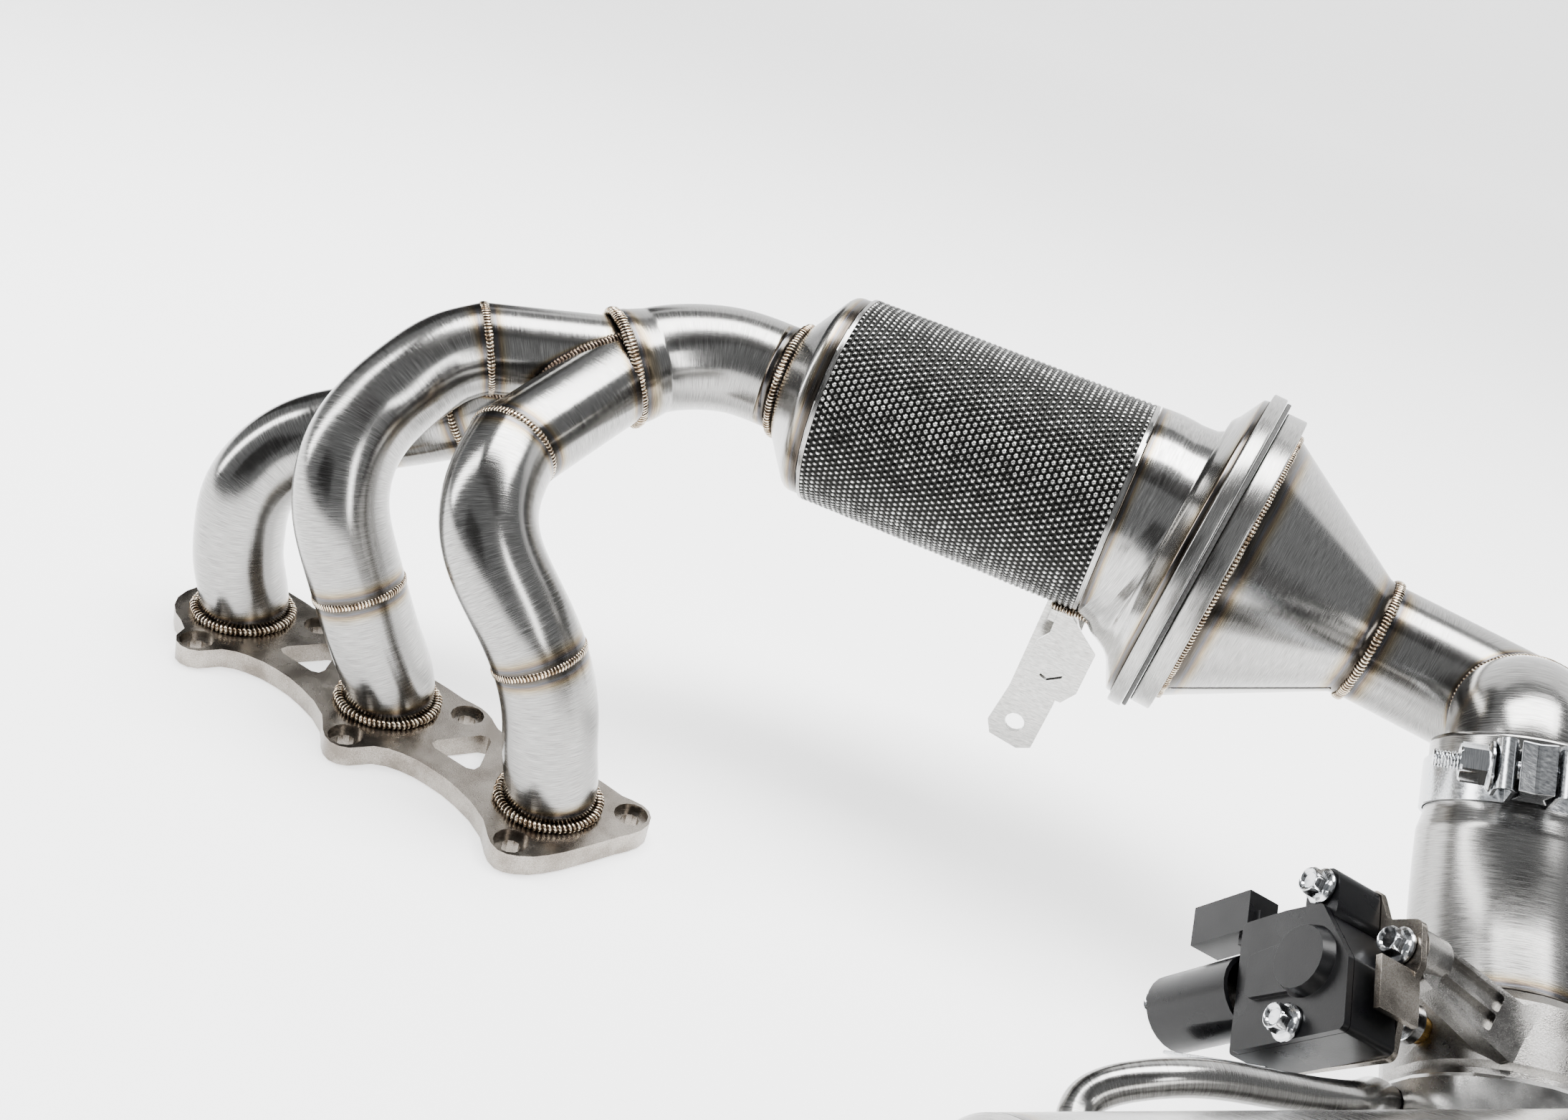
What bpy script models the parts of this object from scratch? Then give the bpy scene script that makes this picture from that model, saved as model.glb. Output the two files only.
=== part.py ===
"""Racing exhaust bank: three-port header, catalytic converter, link pipe and valved muffler.

Lengths are in millimetres in the constants below and become metres where an object is made.
The header coordinates are measured from the middle port on the gasket face: +X runs along the
ports, +Z leaves the face. The datum empty moves them to the part's own origin.
"""

import math

import bmesh
import bpy
import numpy as np
from mathutils import Matrix, Vector

MM = 0.001
GAP = 0.3

# Head flange
PORT_SPACING = 118.0
FLANGE_THICKNESS = 12.0
DATUM_X = 59.0
DATUM_Y = -21.0
STUD_HOLE_RADIUS = 5.2
SPOTFACE_RADIUS = 9.5
FRONT_STUD = (9.0, -41.0)
REAR_STUD = (38.0, 24.5)

# Tubes
PRIMARY_RADIUS = 25.0
PRIMARY_WALL = 1.5
OUTLET_RADIUS = 30.0
LINK_RADIUS = 32.5
SLEEVE_RADIUS = 38.0
TUBE_SIDES = 16

# Catalytic converter, measured along its own axis from the inlet weld
CAT_ORIGIN = Vector((110.0, 168.5, 222.6))
CAT_AXIS = Vector((0.983, 0.183, -0.023)).normalized()
CAT_LENGTH = 200.0
SHELL_RADIUS = 57.5
SHIELD_RADIUS = 60.0
SUBSTRATE_RADIUS = 51.0

# Main flange pair and link pipe
FLANGE_ORIGIN = Vector((348.4, 211.9, 211.7))
LINK_AXIS = Vector((0.990, 0.097, -0.096)).normalized()
MAIN_FLANGE_RADIUS = 92.5
RIM_RADIUS = 86.5
CONE_RADIUS = 77.5
CONE_LENGTH = 100.0

# Corners of the route from the link pipe to the exhaust valve
ELBOW_HEEL = Vector((532.7, 230.0, 194.0))
ELBOW_CORNER = Vector((526.3, 157.3, 219.9))
DOWN_CORNER = Vector((553.0, 104.0, 153.0))
VALVE_CENTRE = Vector((574.5, 45.0, 118.0))
ELBOW_BEND = 34.0
DOWN_BEND = 150.0

# Exhaust valve and its electric actuator, in the valve's own frame
VALVE_BORE = 38.5
VALVE_RADIUS = 48.0
VALVE_HALF_HEIGHT = 19.0
SHAFT_RADIUS = 4.0
BOSS = Vector((76.0, 21.0, 17.0))
MOTOR_X = 95.0
MOTOR_Z = 3.0
MOTOR_RADIUS = 17.0
WHEEL_Y = -26.0
WHEEL_Z = -11.3

# Muffler
MUFFLER_CENTRE = Vector((580.0, -140.0, 115.9))
MUFFLER_TURN = math.radians(44.0)
MUFFLER_RADIUS = 92.0
MUFFLER_LENGTH = 330.0
TAIL_RADIUS = 38.0


def srgb(code):
    """Linear colour of a hex sRGB code."""
    values = [int(code[i : i + 2], 16) / 255 for i in (0, 2, 4)]
    linear = [v / 12.92 if v <= 0.04045 else ((v + 0.055) / 1.055) ** 2.4 for v in values]
    return (*linear, 1.0)


def clear_scene():
    for obj in list(bpy.data.objects):
        bpy.data.objects.remove(obj, do_unlink=True)


def new_collection(name):
    found = bpy.data.collections.new(name)
    bpy.context.scene.collection.children.link(found)
    return found


def new_material(name, code, roughness, metallic):
    material = bpy.data.materials.new(name)
    material.use_nodes = True
    shader = material.node_tree.nodes["Principled BSDF"]
    shader.inputs["Base Color"].default_value = srgb(code)
    shader.inputs["Roughness"].default_value = roughness
    shader.inputs["Metallic"].default_value = metallic
    return material


def along(origin, axis):
    """Matrix, in millimetres, whose Z runs along the axis."""
    turn = Vector(axis).to_track_quat("Z", "Y").to_matrix().to_4x4()
    return Matrix.Translation(Vector(origin)) @ turn


def frame_of(origin, x_axis, z_axis):
    """Matrix, in millimetres, from an origin, an X direction and a Z direction."""
    z = Vector(z_axis).normalized()
    x = (Vector(x_axis) - Vector(x_axis).dot(z) * z).normalized()
    y = z.cross(x)
    turn = Matrix((x, y, z)).transposed().to_4x4()
    return Matrix.Translation(Vector(origin)) @ turn


def put(name, data, matrix, material, parent, collection):
    """Adds an object at a matrix given in millimetres, under its parent empty."""
    obj = bpy.data.objects.new(name, data)
    collection.objects.link(obj)
    obj.parent = parent
    placed = matrix.copy()
    placed.translation = matrix.translation * MM
    obj.matrix_basis = placed
    if material is not None:
        data.materials.append(material)
    if collection is CUTTERS:
        obj.hide_render = True
        obj.display_type = "WIRE"
    return obj


def smooth(mesh):
    mesh.shade_smooth()
    mesh.set_sharp_from_angle(angle=math.radians(35))


def mesh_from(bm, name):
    mesh = bpy.data.meshes.new(name)
    bmesh.ops.recalc_face_normals(bm, faces=bm.faces)
    bm.to_mesh(mesh)
    bm.free()
    smooth(mesh)
    return mesh


def cylinder(name, radius, length, matrix, material, parent, collection, sides=24, top=None):
    """Solid cylinder or cone, centred on the matrix, along its Z."""
    bm = bmesh.new()
    bmesh.ops.create_cone(
        bm,
        cap_ends=True,
        segments=sides,
        radius1=radius * MM,
        radius2=(radius if top is None else top) * MM,
        depth=length * MM,
    )
    return put(name, mesh_from(bm, name), matrix, material, parent, collection)


def box(name, size, matrix, material, parent, collection):
    bm = bmesh.new()
    bmesh.ops.create_cube(bm, size=1.0)
    bmesh.ops.scale(bm, vec=Vector(size) * MM, verts=bm.verts)
    return put(name, mesh_from(bm, name), matrix, material, parent, collection)


def turned(name, profile, matrix, material, parent, collection=None, steps=32):
    """Turned shape. The profile of (radius, height) runs down the outer side.

    It closes on itself unless it starts and ends on the axis.
    """
    bm = bmesh.new()
    verts = [bm.verts.new((r * MM, 0.0, z * MM)) for r, z in profile]
    for first, second in zip(verts, verts[1:]):
        bm.edges.new((first, second))
    if profile[0][0] > 0:
        bm.edges.new((verts[-1], verts[0]))
    mesh = bpy.data.meshes.new(name)
    bm.to_mesh(mesh)
    bm.free()
    obj = put(name, mesh, matrix, material, parent, collection or PARTS)
    screw = obj.modifiers.new("Turn", "SCREW")
    screw.axis = "Z"
    screw.steps = steps
    screw.render_steps = steps
    screw.use_merge_vertices = True
    screw.merge_threshold = 0.00001
    screw.use_smooth_shade = True
    return obj


def ring(name, outer, inner, low, high, matrix, material, parent, collection=None, steps=32):
    profile = [(outer, high), (outer, low), (inner, low), (inner, high)]
    return turned(name, profile, matrix, material, parent, collection, steps)


def bead(name, tube_radius, size, matrix, material, parent, steps=16):
    """Weld bead: a ring of round section that stands clear of its tube by the usual gap."""
    middle = tube_radius + GAP + size
    angles = [math.pi / 2 - i * math.pi / 3 for i in range(6)]
    profile = [(middle + size * math.cos(a), size * math.sin(a)) for a in angles]
    return turned(name, profile, matrix, material, parent, None, steps)


def smooth_path(points, count):
    """Points at even steps along a natural cubic spline through the given ones."""
    given = np.array([tuple(p) for p in points], float)
    steps = np.linalg.norm(np.diff(given, axis=0), axis=1)
    knots = np.concatenate([[0.0], np.cumsum(steps)])
    size = len(given)
    matrix = np.eye(size)
    right = np.zeros((size, 3))
    for i in range(1, size - 1):
        before = steps[i - 1]
        after = steps[i]
        matrix[i, i - 1 : i + 2] = (before, 2 * (before + after), after)
        slope_after = (given[i + 1] - given[i]) / after
        slope_before = (given[i] - given[i - 1]) / before
        right[i] = 6 * (slope_after - slope_before)
    second = np.linalg.solve(matrix, right)
    found = []
    for s in np.linspace(0.0, knots[-1], count):
        i = min(int(np.searchsorted(knots, s, side="right")) - 1, size - 2)
        h = steps[i]
        a = (knots[i + 1] - s) / h
        b = (s - knots[i]) / h
        bend = ((a**3 - a) * second[i] + (b**3 - b) * second[i + 1]) * h * h / 6
        found.append(Vector(a * given[i] + b * given[i + 1] + bend))
    return found


def bent_path(start, corner, end, radius, steps=8):
    """Straight leg, mandrel bend of the given centreline radius, straight leg."""
    first = (corner - start).normalized()
    second = (end - corner).normalized()
    turn = first.angle(second)
    reach = radius * math.tan(turn / 2)
    centre_way = (second - first).normalized()
    centre = corner + centre_way * radius / math.cos(turn / 2)
    axis = first.cross(second).normalized()
    spoke = corner - first * reach - centre
    arc = [
        centre + Matrix.Rotation(turn * i / steps, 3, axis) @ spoke for i in range(steps + 1)
    ]
    return [start, *arc, end]


def curve_object(name, path, radii, sides, caps):
    data = bpy.data.curves.new(name, "CURVE")
    data.dimensions = "3D"
    data.bevel_depth = MM
    data.bevel_resolution = (sides - 4) // 2
    data.use_fill_caps = caps
    spline = data.splines.new("POLY")
    spline.points.add(len(path) - 1)
    for point, at, radius in zip(spline.points, path, radii):
        point.co = (*(Vector(at) * MM), 1.0)
        point.radius = radius
    obj = bpy.data.objects.new(name, data)
    PARTS.objects.link(obj)
    return obj


def mesh_of(obj, weld):
    """The object's evaluated shape as a mesh, with loose caps welded on. The object goes."""
    graph = bpy.context.evaluated_depsgraph_get()
    mesh = bpy.data.meshes.new_from_object(obj.evaluated_get(graph))
    data = obj.data
    bpy.data.objects.remove(obj, do_unlink=True)
    bpy.data.curves.remove(data)
    if weld:
        bm = bmesh.new()
        bm.from_mesh(mesh)
        bmesh.ops.remove_doubles(bm, verts=bm.verts, dist=0.000001)
        bmesh.ops.recalc_face_normals(bm, faces=bm.faces)
        bm.to_mesh(mesh)
        bm.free()
    return mesh


def hollow_tube(name, path, radii, wall, material, parent, sides=TUBE_SIDES, before=None, after=None):
    """Round tube along a path. An extra point before or after sets the end's mitre only."""
    if isinstance(radii, (int, float)):
        radii = [radii] * len(path)
    start = Vector(path[0])
    route = [Vector(p) - start for p in path]
    sizes = list(radii)
    if before is not None:
        route.insert(0, route[0] - before.normalized() * 5)
        sizes.insert(0, sizes[0])
    if after is not None:
        route.append(route[-1] + after.normalized() * 5)
        sizes.append(sizes[-1])
    mesh = mesh_of(curve_object(name, route, sizes, sides, False), False)
    bm = bmesh.new()
    bm.from_mesh(mesh)
    bm.verts.ensure_lookup_table()
    extra = []
    if before is not None:
        extra += bm.verts[:sides]
    if after is not None:
        extra += bm.verts[len(bm.verts) - sides :]
    bmesh.ops.delete(bm, geom=extra, context="VERTS")
    bm.to_mesh(mesh)
    bm.free()
    smooth(mesh)
    mesh.name = name
    obj = put(name, mesh, Matrix.Translation(start), material, parent, PARTS)
    shell = obj.modifiers.new("Wall", "SOLIDIFY")
    shell.thickness = wall * MM
    shell.offset = -1.0
    shell.use_even_offset = True
    return obj


def rod(name, path, radii, material, parent, collection=None, sides=12):
    """Solid round bar along a path, with closed ends."""
    if isinstance(radii, (int, float)):
        radii = [radii] * len(path)
    start = Vector(path[0])
    route = [Vector(p) - start for p in path]
    mesh = mesh_of(curve_object(name, route, radii, sides, True), True)
    smooth(mesh)
    mesh.name = name
    return put(name, mesh, Matrix.Translation(start), material, parent, collection or PARTS)


def outline_curve(name, outlines, thickness, soft=False):
    """Flat plate from closed outlines, the first its edge and the others its windows."""
    data = bpy.data.curves.new(name, "CURVE")
    data.dimensions = "2D"
    data.fill_mode = "BOTH"
    data.extrude = thickness / 2 * MM
    data.resolution_u = 2
    for index, outline in enumerate(outlines):
        curved = soft and index == 0
        spline = data.splines.new("BEZIER" if curved else "POLY")
        points = spline.bezier_points if curved else spline.points
        points.add(len(outline) - 1)
        for point, (x, y) in zip(points, outline):
            if curved:
                point.co = (x * MM, y * MM, 0.0)
                point.handle_left_type = "AUTO"
                point.handle_right_type = "AUTO"
            else:
                point.co = (x * MM, y * MM, 0.0, 1.0)
        spline.use_cyclic_u = True
    obj = bpy.data.objects.new(name, data)
    PARTS.objects.link(obj)
    return obj


def plate(name, outlines, thickness, matrix, material, parent, soft=False, collection=None):
    """Plate whose lower face lies on the matrix's XY plane."""
    mesh = mesh_of(outline_curve(name, outlines, thickness, soft), True)
    mesh.name = name
    smooth(mesh)
    raised = matrix @ Matrix.Translation((0.0, 0.0, thickness / 2))
    return put(name, mesh, raised, material, parent, collection or PARTS)


def circle(x, y, radius, sides=20):
    angles = [2 * math.pi * i / sides for i in range(sides)]
    return [(x + radius * math.cos(a), y + radius * math.sin(a)) for a in angles]


def rounded(corners, radius, steps=4):
    """Closed outline with each corner of a polygon rounded."""
    found = []
    count = len(corners)
    for i in range(count):
        here = Vector(corners[i])
        back = (Vector(corners[i - 1]) - here).normalized()
        ahead = (Vector(corners[(i + 1) % count]) - here).normalized()
        half = back.angle(ahead) / 2
        reach = radius / math.tan(half)
        first = here + back * reach
        last = here + ahead * reach
        centre = here + (back + ahead).normalized() * radius / math.sin(half)
        start = math.atan2(first.y - centre.y, first.x - centre.x)
        end = math.atan2(last.y - centre.y, last.x - centre.x)
        turn = (end - start + math.pi) % (2 * math.pi) - math.pi
        for step in range(steps + 1):
            a = start + turn * step / steps
            found.append((centre.x + radius * math.cos(a), centre.y + radius * math.sin(a)))
    return found


def boolean(obj, other, operation="DIFFERENCE"):
    step = obj.modifiers.new(operation.title(), "BOOLEAN")
    step.operation = operation
    step.solver = "EXACT"
    step.object = other


def cut_half_space(obj, name, point, normal, parent, size=260.0):
    """Cuts away what lies on the normal's side of a plane."""
    way = Vector(normal).normalized()
    centre = Vector(point) + way * size / 2
    cutter = box(name, (size, size, size), along(centre, way), None, parent, CUTTERS)
    boolean(obj, cutter)


def flange_bolt(name, matrix, head_radius, flange_radius, shank_radius, length, parent):
    """Hexagon flange bolt: its seat is at the matrix's origin and its head points along +Z."""
    shank = [(0.0, 3.0), (flange_radius, 1.2), (flange_radius, 0.0), (shank_radius, 0.0)]
    shank += [(shank_radius, -length), (0.0, -length)]
    bolt = turned(name, shank, matrix, ZINC, parent, None, 12)
    head_at = matrix @ Matrix.Translation((0.0, 0.0, 4.6))
    head = cylinder(name + "_hex", head_radius, 7.0, head_at, None, parent, CUTTERS, 6)
    boolean(bolt, head, "UNION")
    return bolt


def build_header(parent):
    ports = [-PORT_SPACING, 0.0, PORT_SPACING]
    edge = [
        (-154, -2), (-151, -20), (-138, -32), (-122, -39), (-119, -47), (-109, -52), (-99, -48),
        (-93, -37), (-80, -30), (-60, -27), (-38, -29), (-12, -38), (-2, -47), (9, -52), (19, -48),
        (26, -37), (40, -30), (58, -28), (80, -30), (106, -39), (116, -47), (127, -52), (137, -48),
        (147, -36), (155, -18), (163, 4), (168, 18), (165, 31), (156, 36), (143, 34), (118, 36),
        (95, 31), (75, 27), (58, 28), (49, 33), (38, 36), (26, 35), (0, 36), (-20, 31), (-42, 27),
        (-60, 28), (-70, 33), (-80, 36), (-92, 35), (-118, 36), (-138, 31), (-150, 18),
    ]
    holes = []
    studs = []
    for x in ports:
        holes.append(circle(x, 0.0, PRIMARY_RADIUS + 0.5, 20))
        for dx, dy in (FRONT_STUD, REAR_STUD):
            studs.append((x + dx, dy))
            holes.append(circle(x + dx, dy, STUD_HOLE_RADIUS, 10))
    for x in (-59.0, 59.0):
        holes.append(rounded([(x - 19, -13), (x + 19, -13), (x + 1, 23)], 4.5, 2))
    flange = plate("head_flange", [edge, *holes], FLANGE_THICKNESS, Matrix(), STEEL_PLATE, parent, True)
    for index, (x, y) in enumerate(studs):
        at = Matrix.Translation((x, y, FLANGE_THICKNESS))
        pocket = cylinder(f"spotface_{index}", SPOTFACE_RADIUS, 8.0, at, None, parent, CUTTERS, 14)
        boolean(flange, pocket)

    joints = [
        Vector((-40.7, 76.2, 157.6)),
        Vector((-22.3, 64.5, 207.4)),
        Vector((37.3, 23.0, 182.0)),
    ]
    routes = [
        [
            (-118, 0, 2), (-118, 0, 10), (-118, 0, 18), (-121.5, -3.7, 46), (-122.6, -3.9, 67),
            (-122, -1, 89), (-115, 11, 112), (-102, 26, 127.5), (-86.1, 44.5, 135.7), (-66.6, 58.7, 144.4),
        ],
        [
            (0, 0, 2), (0, 0, 10), (0, 0, 18), (-7.5, -6.6, 47.8), (-16.2, -13.7, 76),
            (-25.4, -17.9, 101), (-33.5, -19.5, 123), (-38.8, -15.8, 139.5), (-43.5, -4.5, 157.5),
            (-44.5, 12, 172.5), (-39.4, 30.2, 188.2), (-33.2, 47.8, 200),
        ],
        [
            (118, 0, 2), (118, 0, 10), (118, 0, 18), (114.6, -2.5, 42), (111.3, -4.3, 64.5),
            (105.2, -6.7, 86), (94.3, -10.5, 108), (78.3, -13.4, 127.7), (65.9, -14, 142),
            (54.5, -9.5, 157), (45.2, 3.5, 171),
        ],
    ]
    outlet = Vector((36.6, 112.3, 210.7))
    merge = Vector((0.56, 0.77, 0.31)).normalized()
    apex = outlet + merge * 11
    ways = [(apex - joint).normalized() for joint in joints]
    paths = [smooth_path([*route, joint], 13) for route, joint in zip(routes, joints)]
    for index, (x, joint, path, way) in enumerate(zip(ports, joints, paths, ways)):
        number = index + 1
        arriving = (path[-1] - path[-2]).normalized()
        path[-1] = path[-1] - arriving * 0.6
        hollow_tube(
            f"primary_{number}", path, PRIMARY_RADIUS, PRIMARY_WALL, STEEL, parent, after=way
        )
        weld_at = Matrix.Translation((x, 0.0, FLANGE_THICKNESS + GAP + 2.7))
        bead(f"port_weld_{number}", PRIMARY_RADIUS + 0.5, 2.7, weld_at, WELD, parent)
        runner = hollow_tube(
            f"runner_{number}",
            [joint + way * 0.6, apex + way * 12],
            PRIMARY_RADIUS,
            PRIMARY_WALL,
            STEEL,
            parent,
            before=arriving,
        )
        for other in range(3):
            if other != index:
                side = (way - ways[other]).normalized()
                name = f"merge_plane_{number}{other + 1}"
                cut_half_space(runner, name, apex - side * 0.2, side, parent)
        cut_half_space(runner, f"outlet_plane_{number}", outlet - merge * 0.2, merge, parent)
        if index == 0:
            notch = rod("merge_notch", paths[1][-5:], PRIMARY_RADIUS + 0.5, None, parent, CUTTERS, 16)
            boolean(runner, notch)

    bend = [
        outlet + merge * 7, (47.4, 128.9, 216.9), (63.1, 145.9, 221.9), (81.7, 159.0, 223.9),
        CAT_ORIGIN - CAT_AXIS * 8,
    ]
    path = [outlet + merge * 0.6, *smooth_path(bend, 8), CAT_ORIGIN - CAT_AXIS * 0.4]
    radii = [33.0, *[OUTLET_RADIUS] * 9]
    hollow_tube("outlet_bend", path, radii, 1.6, STEEL, parent, 20)


def build_cat(parent):
    cat = along(CAT_ORIGIN, CAT_AXIS)
    bead("cat_inlet_weld", 31.0, 2.4, cat @ Matrix.Translation((0, 0, 3.2)), WELD, parent)
    cone = [
        (58.0, 32.0), (58.0, 25.0), (56.6, 22.5), (34.5, 6.0), (31.0, 5.6), (31.0, 0.2),
        (29.4, 0.2), (29.4, 7.2), (33.9, 7.6), (54.8, 23.2), (56.3, 25.6), (56.3, 32.0),
    ]
    turned("cat_inlet_cone", cone, cat, STEEL, parent, None, 24)
    ring("cat_shell", SHELL_RADIUS, 56.0, 32.3, CAT_LENGTH, cat, STEEL, parent, None, 24)
    ring("heat_shield", SHIELD_RADIUS, 57.9, 33.0, CAT_LENGTH - 0.4, cat, EMBOSSED, parent, None, 24)
    ring("cat_mat", 55.6, SUBSTRATE_RADIUS + 0.3, 52.0, 178.0, cat, MAT, parent, None, 24)
    block = [(0, 186), (SUBSTRATE_RADIUS, 186), (SUBSTRATE_RADIUS, 46), (0, 46)]
    turned("cat_substrate", block, cat, SUBSTRATE, parent, None, 24)

    start = CAT_ORIGIN + CAT_AXIS * (CAT_LENGTH + 0.3)
    path = [
        start, start + CAT_AXIS * 8, FLANGE_ORIGIN - LINK_AXIS * 16, FLANGE_ORIGIN - LINK_AXIS * 8, FLANGE_ORIGIN - LINK_AXIS * 4, FLANGE_ORIGIN - LINK_AXIS * GAP,
    ]
    radii = [60.0, 60.4, 68.5, 82.0, 88.0, 88.0]
    outlet = hollow_tube(
        "cat_outlet_shell", path, radii, 1.8, STEEL, parent, 24, before=CAT_AXIS, after=LINK_AXIS
    )
    outlet.modifiers["Wall"].use_even_offset = False

    build_bracket(cat, parent)
    flange = along(FLANGE_ORIGIN, LINK_AXIS)
    ring("cat_flange", MAIN_FLANGE_RADIUS, 80.0, 0.0, 7.5, flange, STEEL_PLATE, parent, None, 24)
    ring("flange_gasket", 91.0, 79.0, 7.8, 10.2, flange, GASKET, parent, None, 24)
    ring("link_rim", RIM_RADIUS, CONE_RADIUS + 0.5, 10.5, 21.5, flange, STEEL_PLATE, parent, None, 24)
    cone = [
        (33.0, CONE_LENGTH), (33.0, 97.0), (CONE_RADIUS, 23.0), (CONE_RADIUS, 11.0),
        (76.0, 11.0), (76.0, 22.4), (31.4, 96.3), (31.4, CONE_LENGTH),
    ]
    turned("link_cone", cone, flange, STEEL, parent, None, 24)
    weld_at = flange @ Matrix.Translation((0, 0, CONE_LENGTH + 2.6))
    bead("link_weld", LINK_RADIUS + 0.2, 2.2, weld_at, WELD, parent)


def build_bracket(cat, parent):
    """Hanger bracket: two slotted ears on a web that is welded under the heat shield."""
    sheet = frame_of(CAT_ORIGIN, CAT_AXIS, (0.183, -0.983, 0.0))
    ear = [
        (191, -50), (212, -50), (218.8, -68.5), (217.2, -101), (211, -110), (191, -110),
        (184, -98.6), (186.3, -79.5), (191.0, -73.2),
    ]
    slot = [(194.5, -99), (199, -100.5), (206.5, -95.5), (207, -92), (203, -90.5), (195, -95.5)]
    low_ear = [
        (183, -58), (206, -58), (208, -129), (205.4, -161.8), (197.6, -165.7), (179.6, -163),
        (175.8, -154.7), (180.3, -128.5),
    ]
    hole = circle(191.1, -149.8, 6.0, 12)
    bracket = plate("cat_bracket", [ear, slot], 3.0, sheet @ Matrix.Translation((0, 0, 22)), STEEL_PLATE, parent)
    lower = plate(
        "bracket_ear", [low_ear, hole], 3.0, sheet @ Matrix.Translation((0, 0, -8)), None, parent, False, CUTTERS
    )
    boolean(bracket, lower, "UNION")
    web_at = sheet @ Matrix.Translation((198.0, -62.0, 8.4))
    web = box("bracket_web", (22.0, 7.0, 32.4), web_at, None, parent, CUTTERS)
    boolean(bracket, web, "UNION")
    seat = cylinder("bracket_seat", 60.4, 120.0, cat @ Matrix.Translation((0, 0, 160)), None, parent, CUTTERS, 48)
    boolean(bracket, seat)
    flare = cylinder("bracket_flare", 61.4, 33.0, cat @ Matrix.Translation((0, 0, 213)), None, parent, CUTTERS, 48, 87.0)
    boolean(bracket, flare)


def build_link(parent):
    flange = along(FLANGE_ORIGIN, LINK_AXIS)
    heel_way = (ELBOW_CORNER - ELBOW_HEEL).normalized()
    down_way = (DOWN_CORNER - ELBOW_CORNER).normalized()
    mitre = (LINK_AXIS + heel_way).normalized()
    link = hollow_tube(
        "link_pipe",
        [flange @ Vector((0, 0, CONE_LENGTH + 0.3)), ELBOW_HEEL + LINK_AXIS * 50],
        LINK_RADIUS,
        1.6,
        STEEL,
        parent,
        24,
    )
    cut_half_space(link, "link_mitre", ELBOW_HEEL - mitre * 0.2, mitre, parent)

    end = ELBOW_CORNER + down_way * 46
    path = bent_path(ELBOW_HEEL - heel_way * 50, ELBOW_CORNER, end, ELBOW_BEND, 7)
    path.insert(-1, ELBOW_CORNER + down_way * 33)
    radii = [LINK_RADIUS] * (len(path) - 2) + [35.7, 35.7]
    elbow = hollow_tube("elbow", path, radii, 1.6, STEEL, parent, 18)
    cut_half_space(elbow, "elbow_mitre", ELBOW_HEEL + mitre * 0.2, -mitre, parent)

    top = ELBOW_CORNER + down_way * 14
    valve_way = (VALVE_CENTRE - DOWN_CORNER).normalized()
    bottom = VALVE_CENTRE - valve_way * (VALVE_HALF_HEIGHT + GAP)
    path = bent_path(top, DOWN_CORNER, bottom, DOWN_BEND, 6)
    path.insert(1, top + down_way * 42)
    radii = [SLEEVE_RADIUS, SLEEVE_RADIUS] + [40.0] * (len(path) - 2)
    down = hollow_tube("down_pipe", path, radii, 1.8, STEEL, parent, 20)
    throat = rod(
        "elbow_throat",
        bent_path(ELBOW_HEEL, ELBOW_CORNER, ELBOW_CORNER + down_way * 26, ELBOW_BEND, 7),
        LINK_RADIUS + 0.6,
        None,
        parent,
        CUTTERS,
        24,
    )
    boolean(down, throat)
    band = frame_of(top, VIEW_SIDE, down_way)
    for index, angle in enumerate((8.0, 98.0)):
        turn = Matrix.Rotation(math.radians(angle), 4, "Z")
        slot = box(f"sleeve_slot_{index}", (100.0, 4.5, 28.0), band @ turn, None, parent, CUTTERS)
        boolean(down, slot)
    build_band(band, parent)


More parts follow.
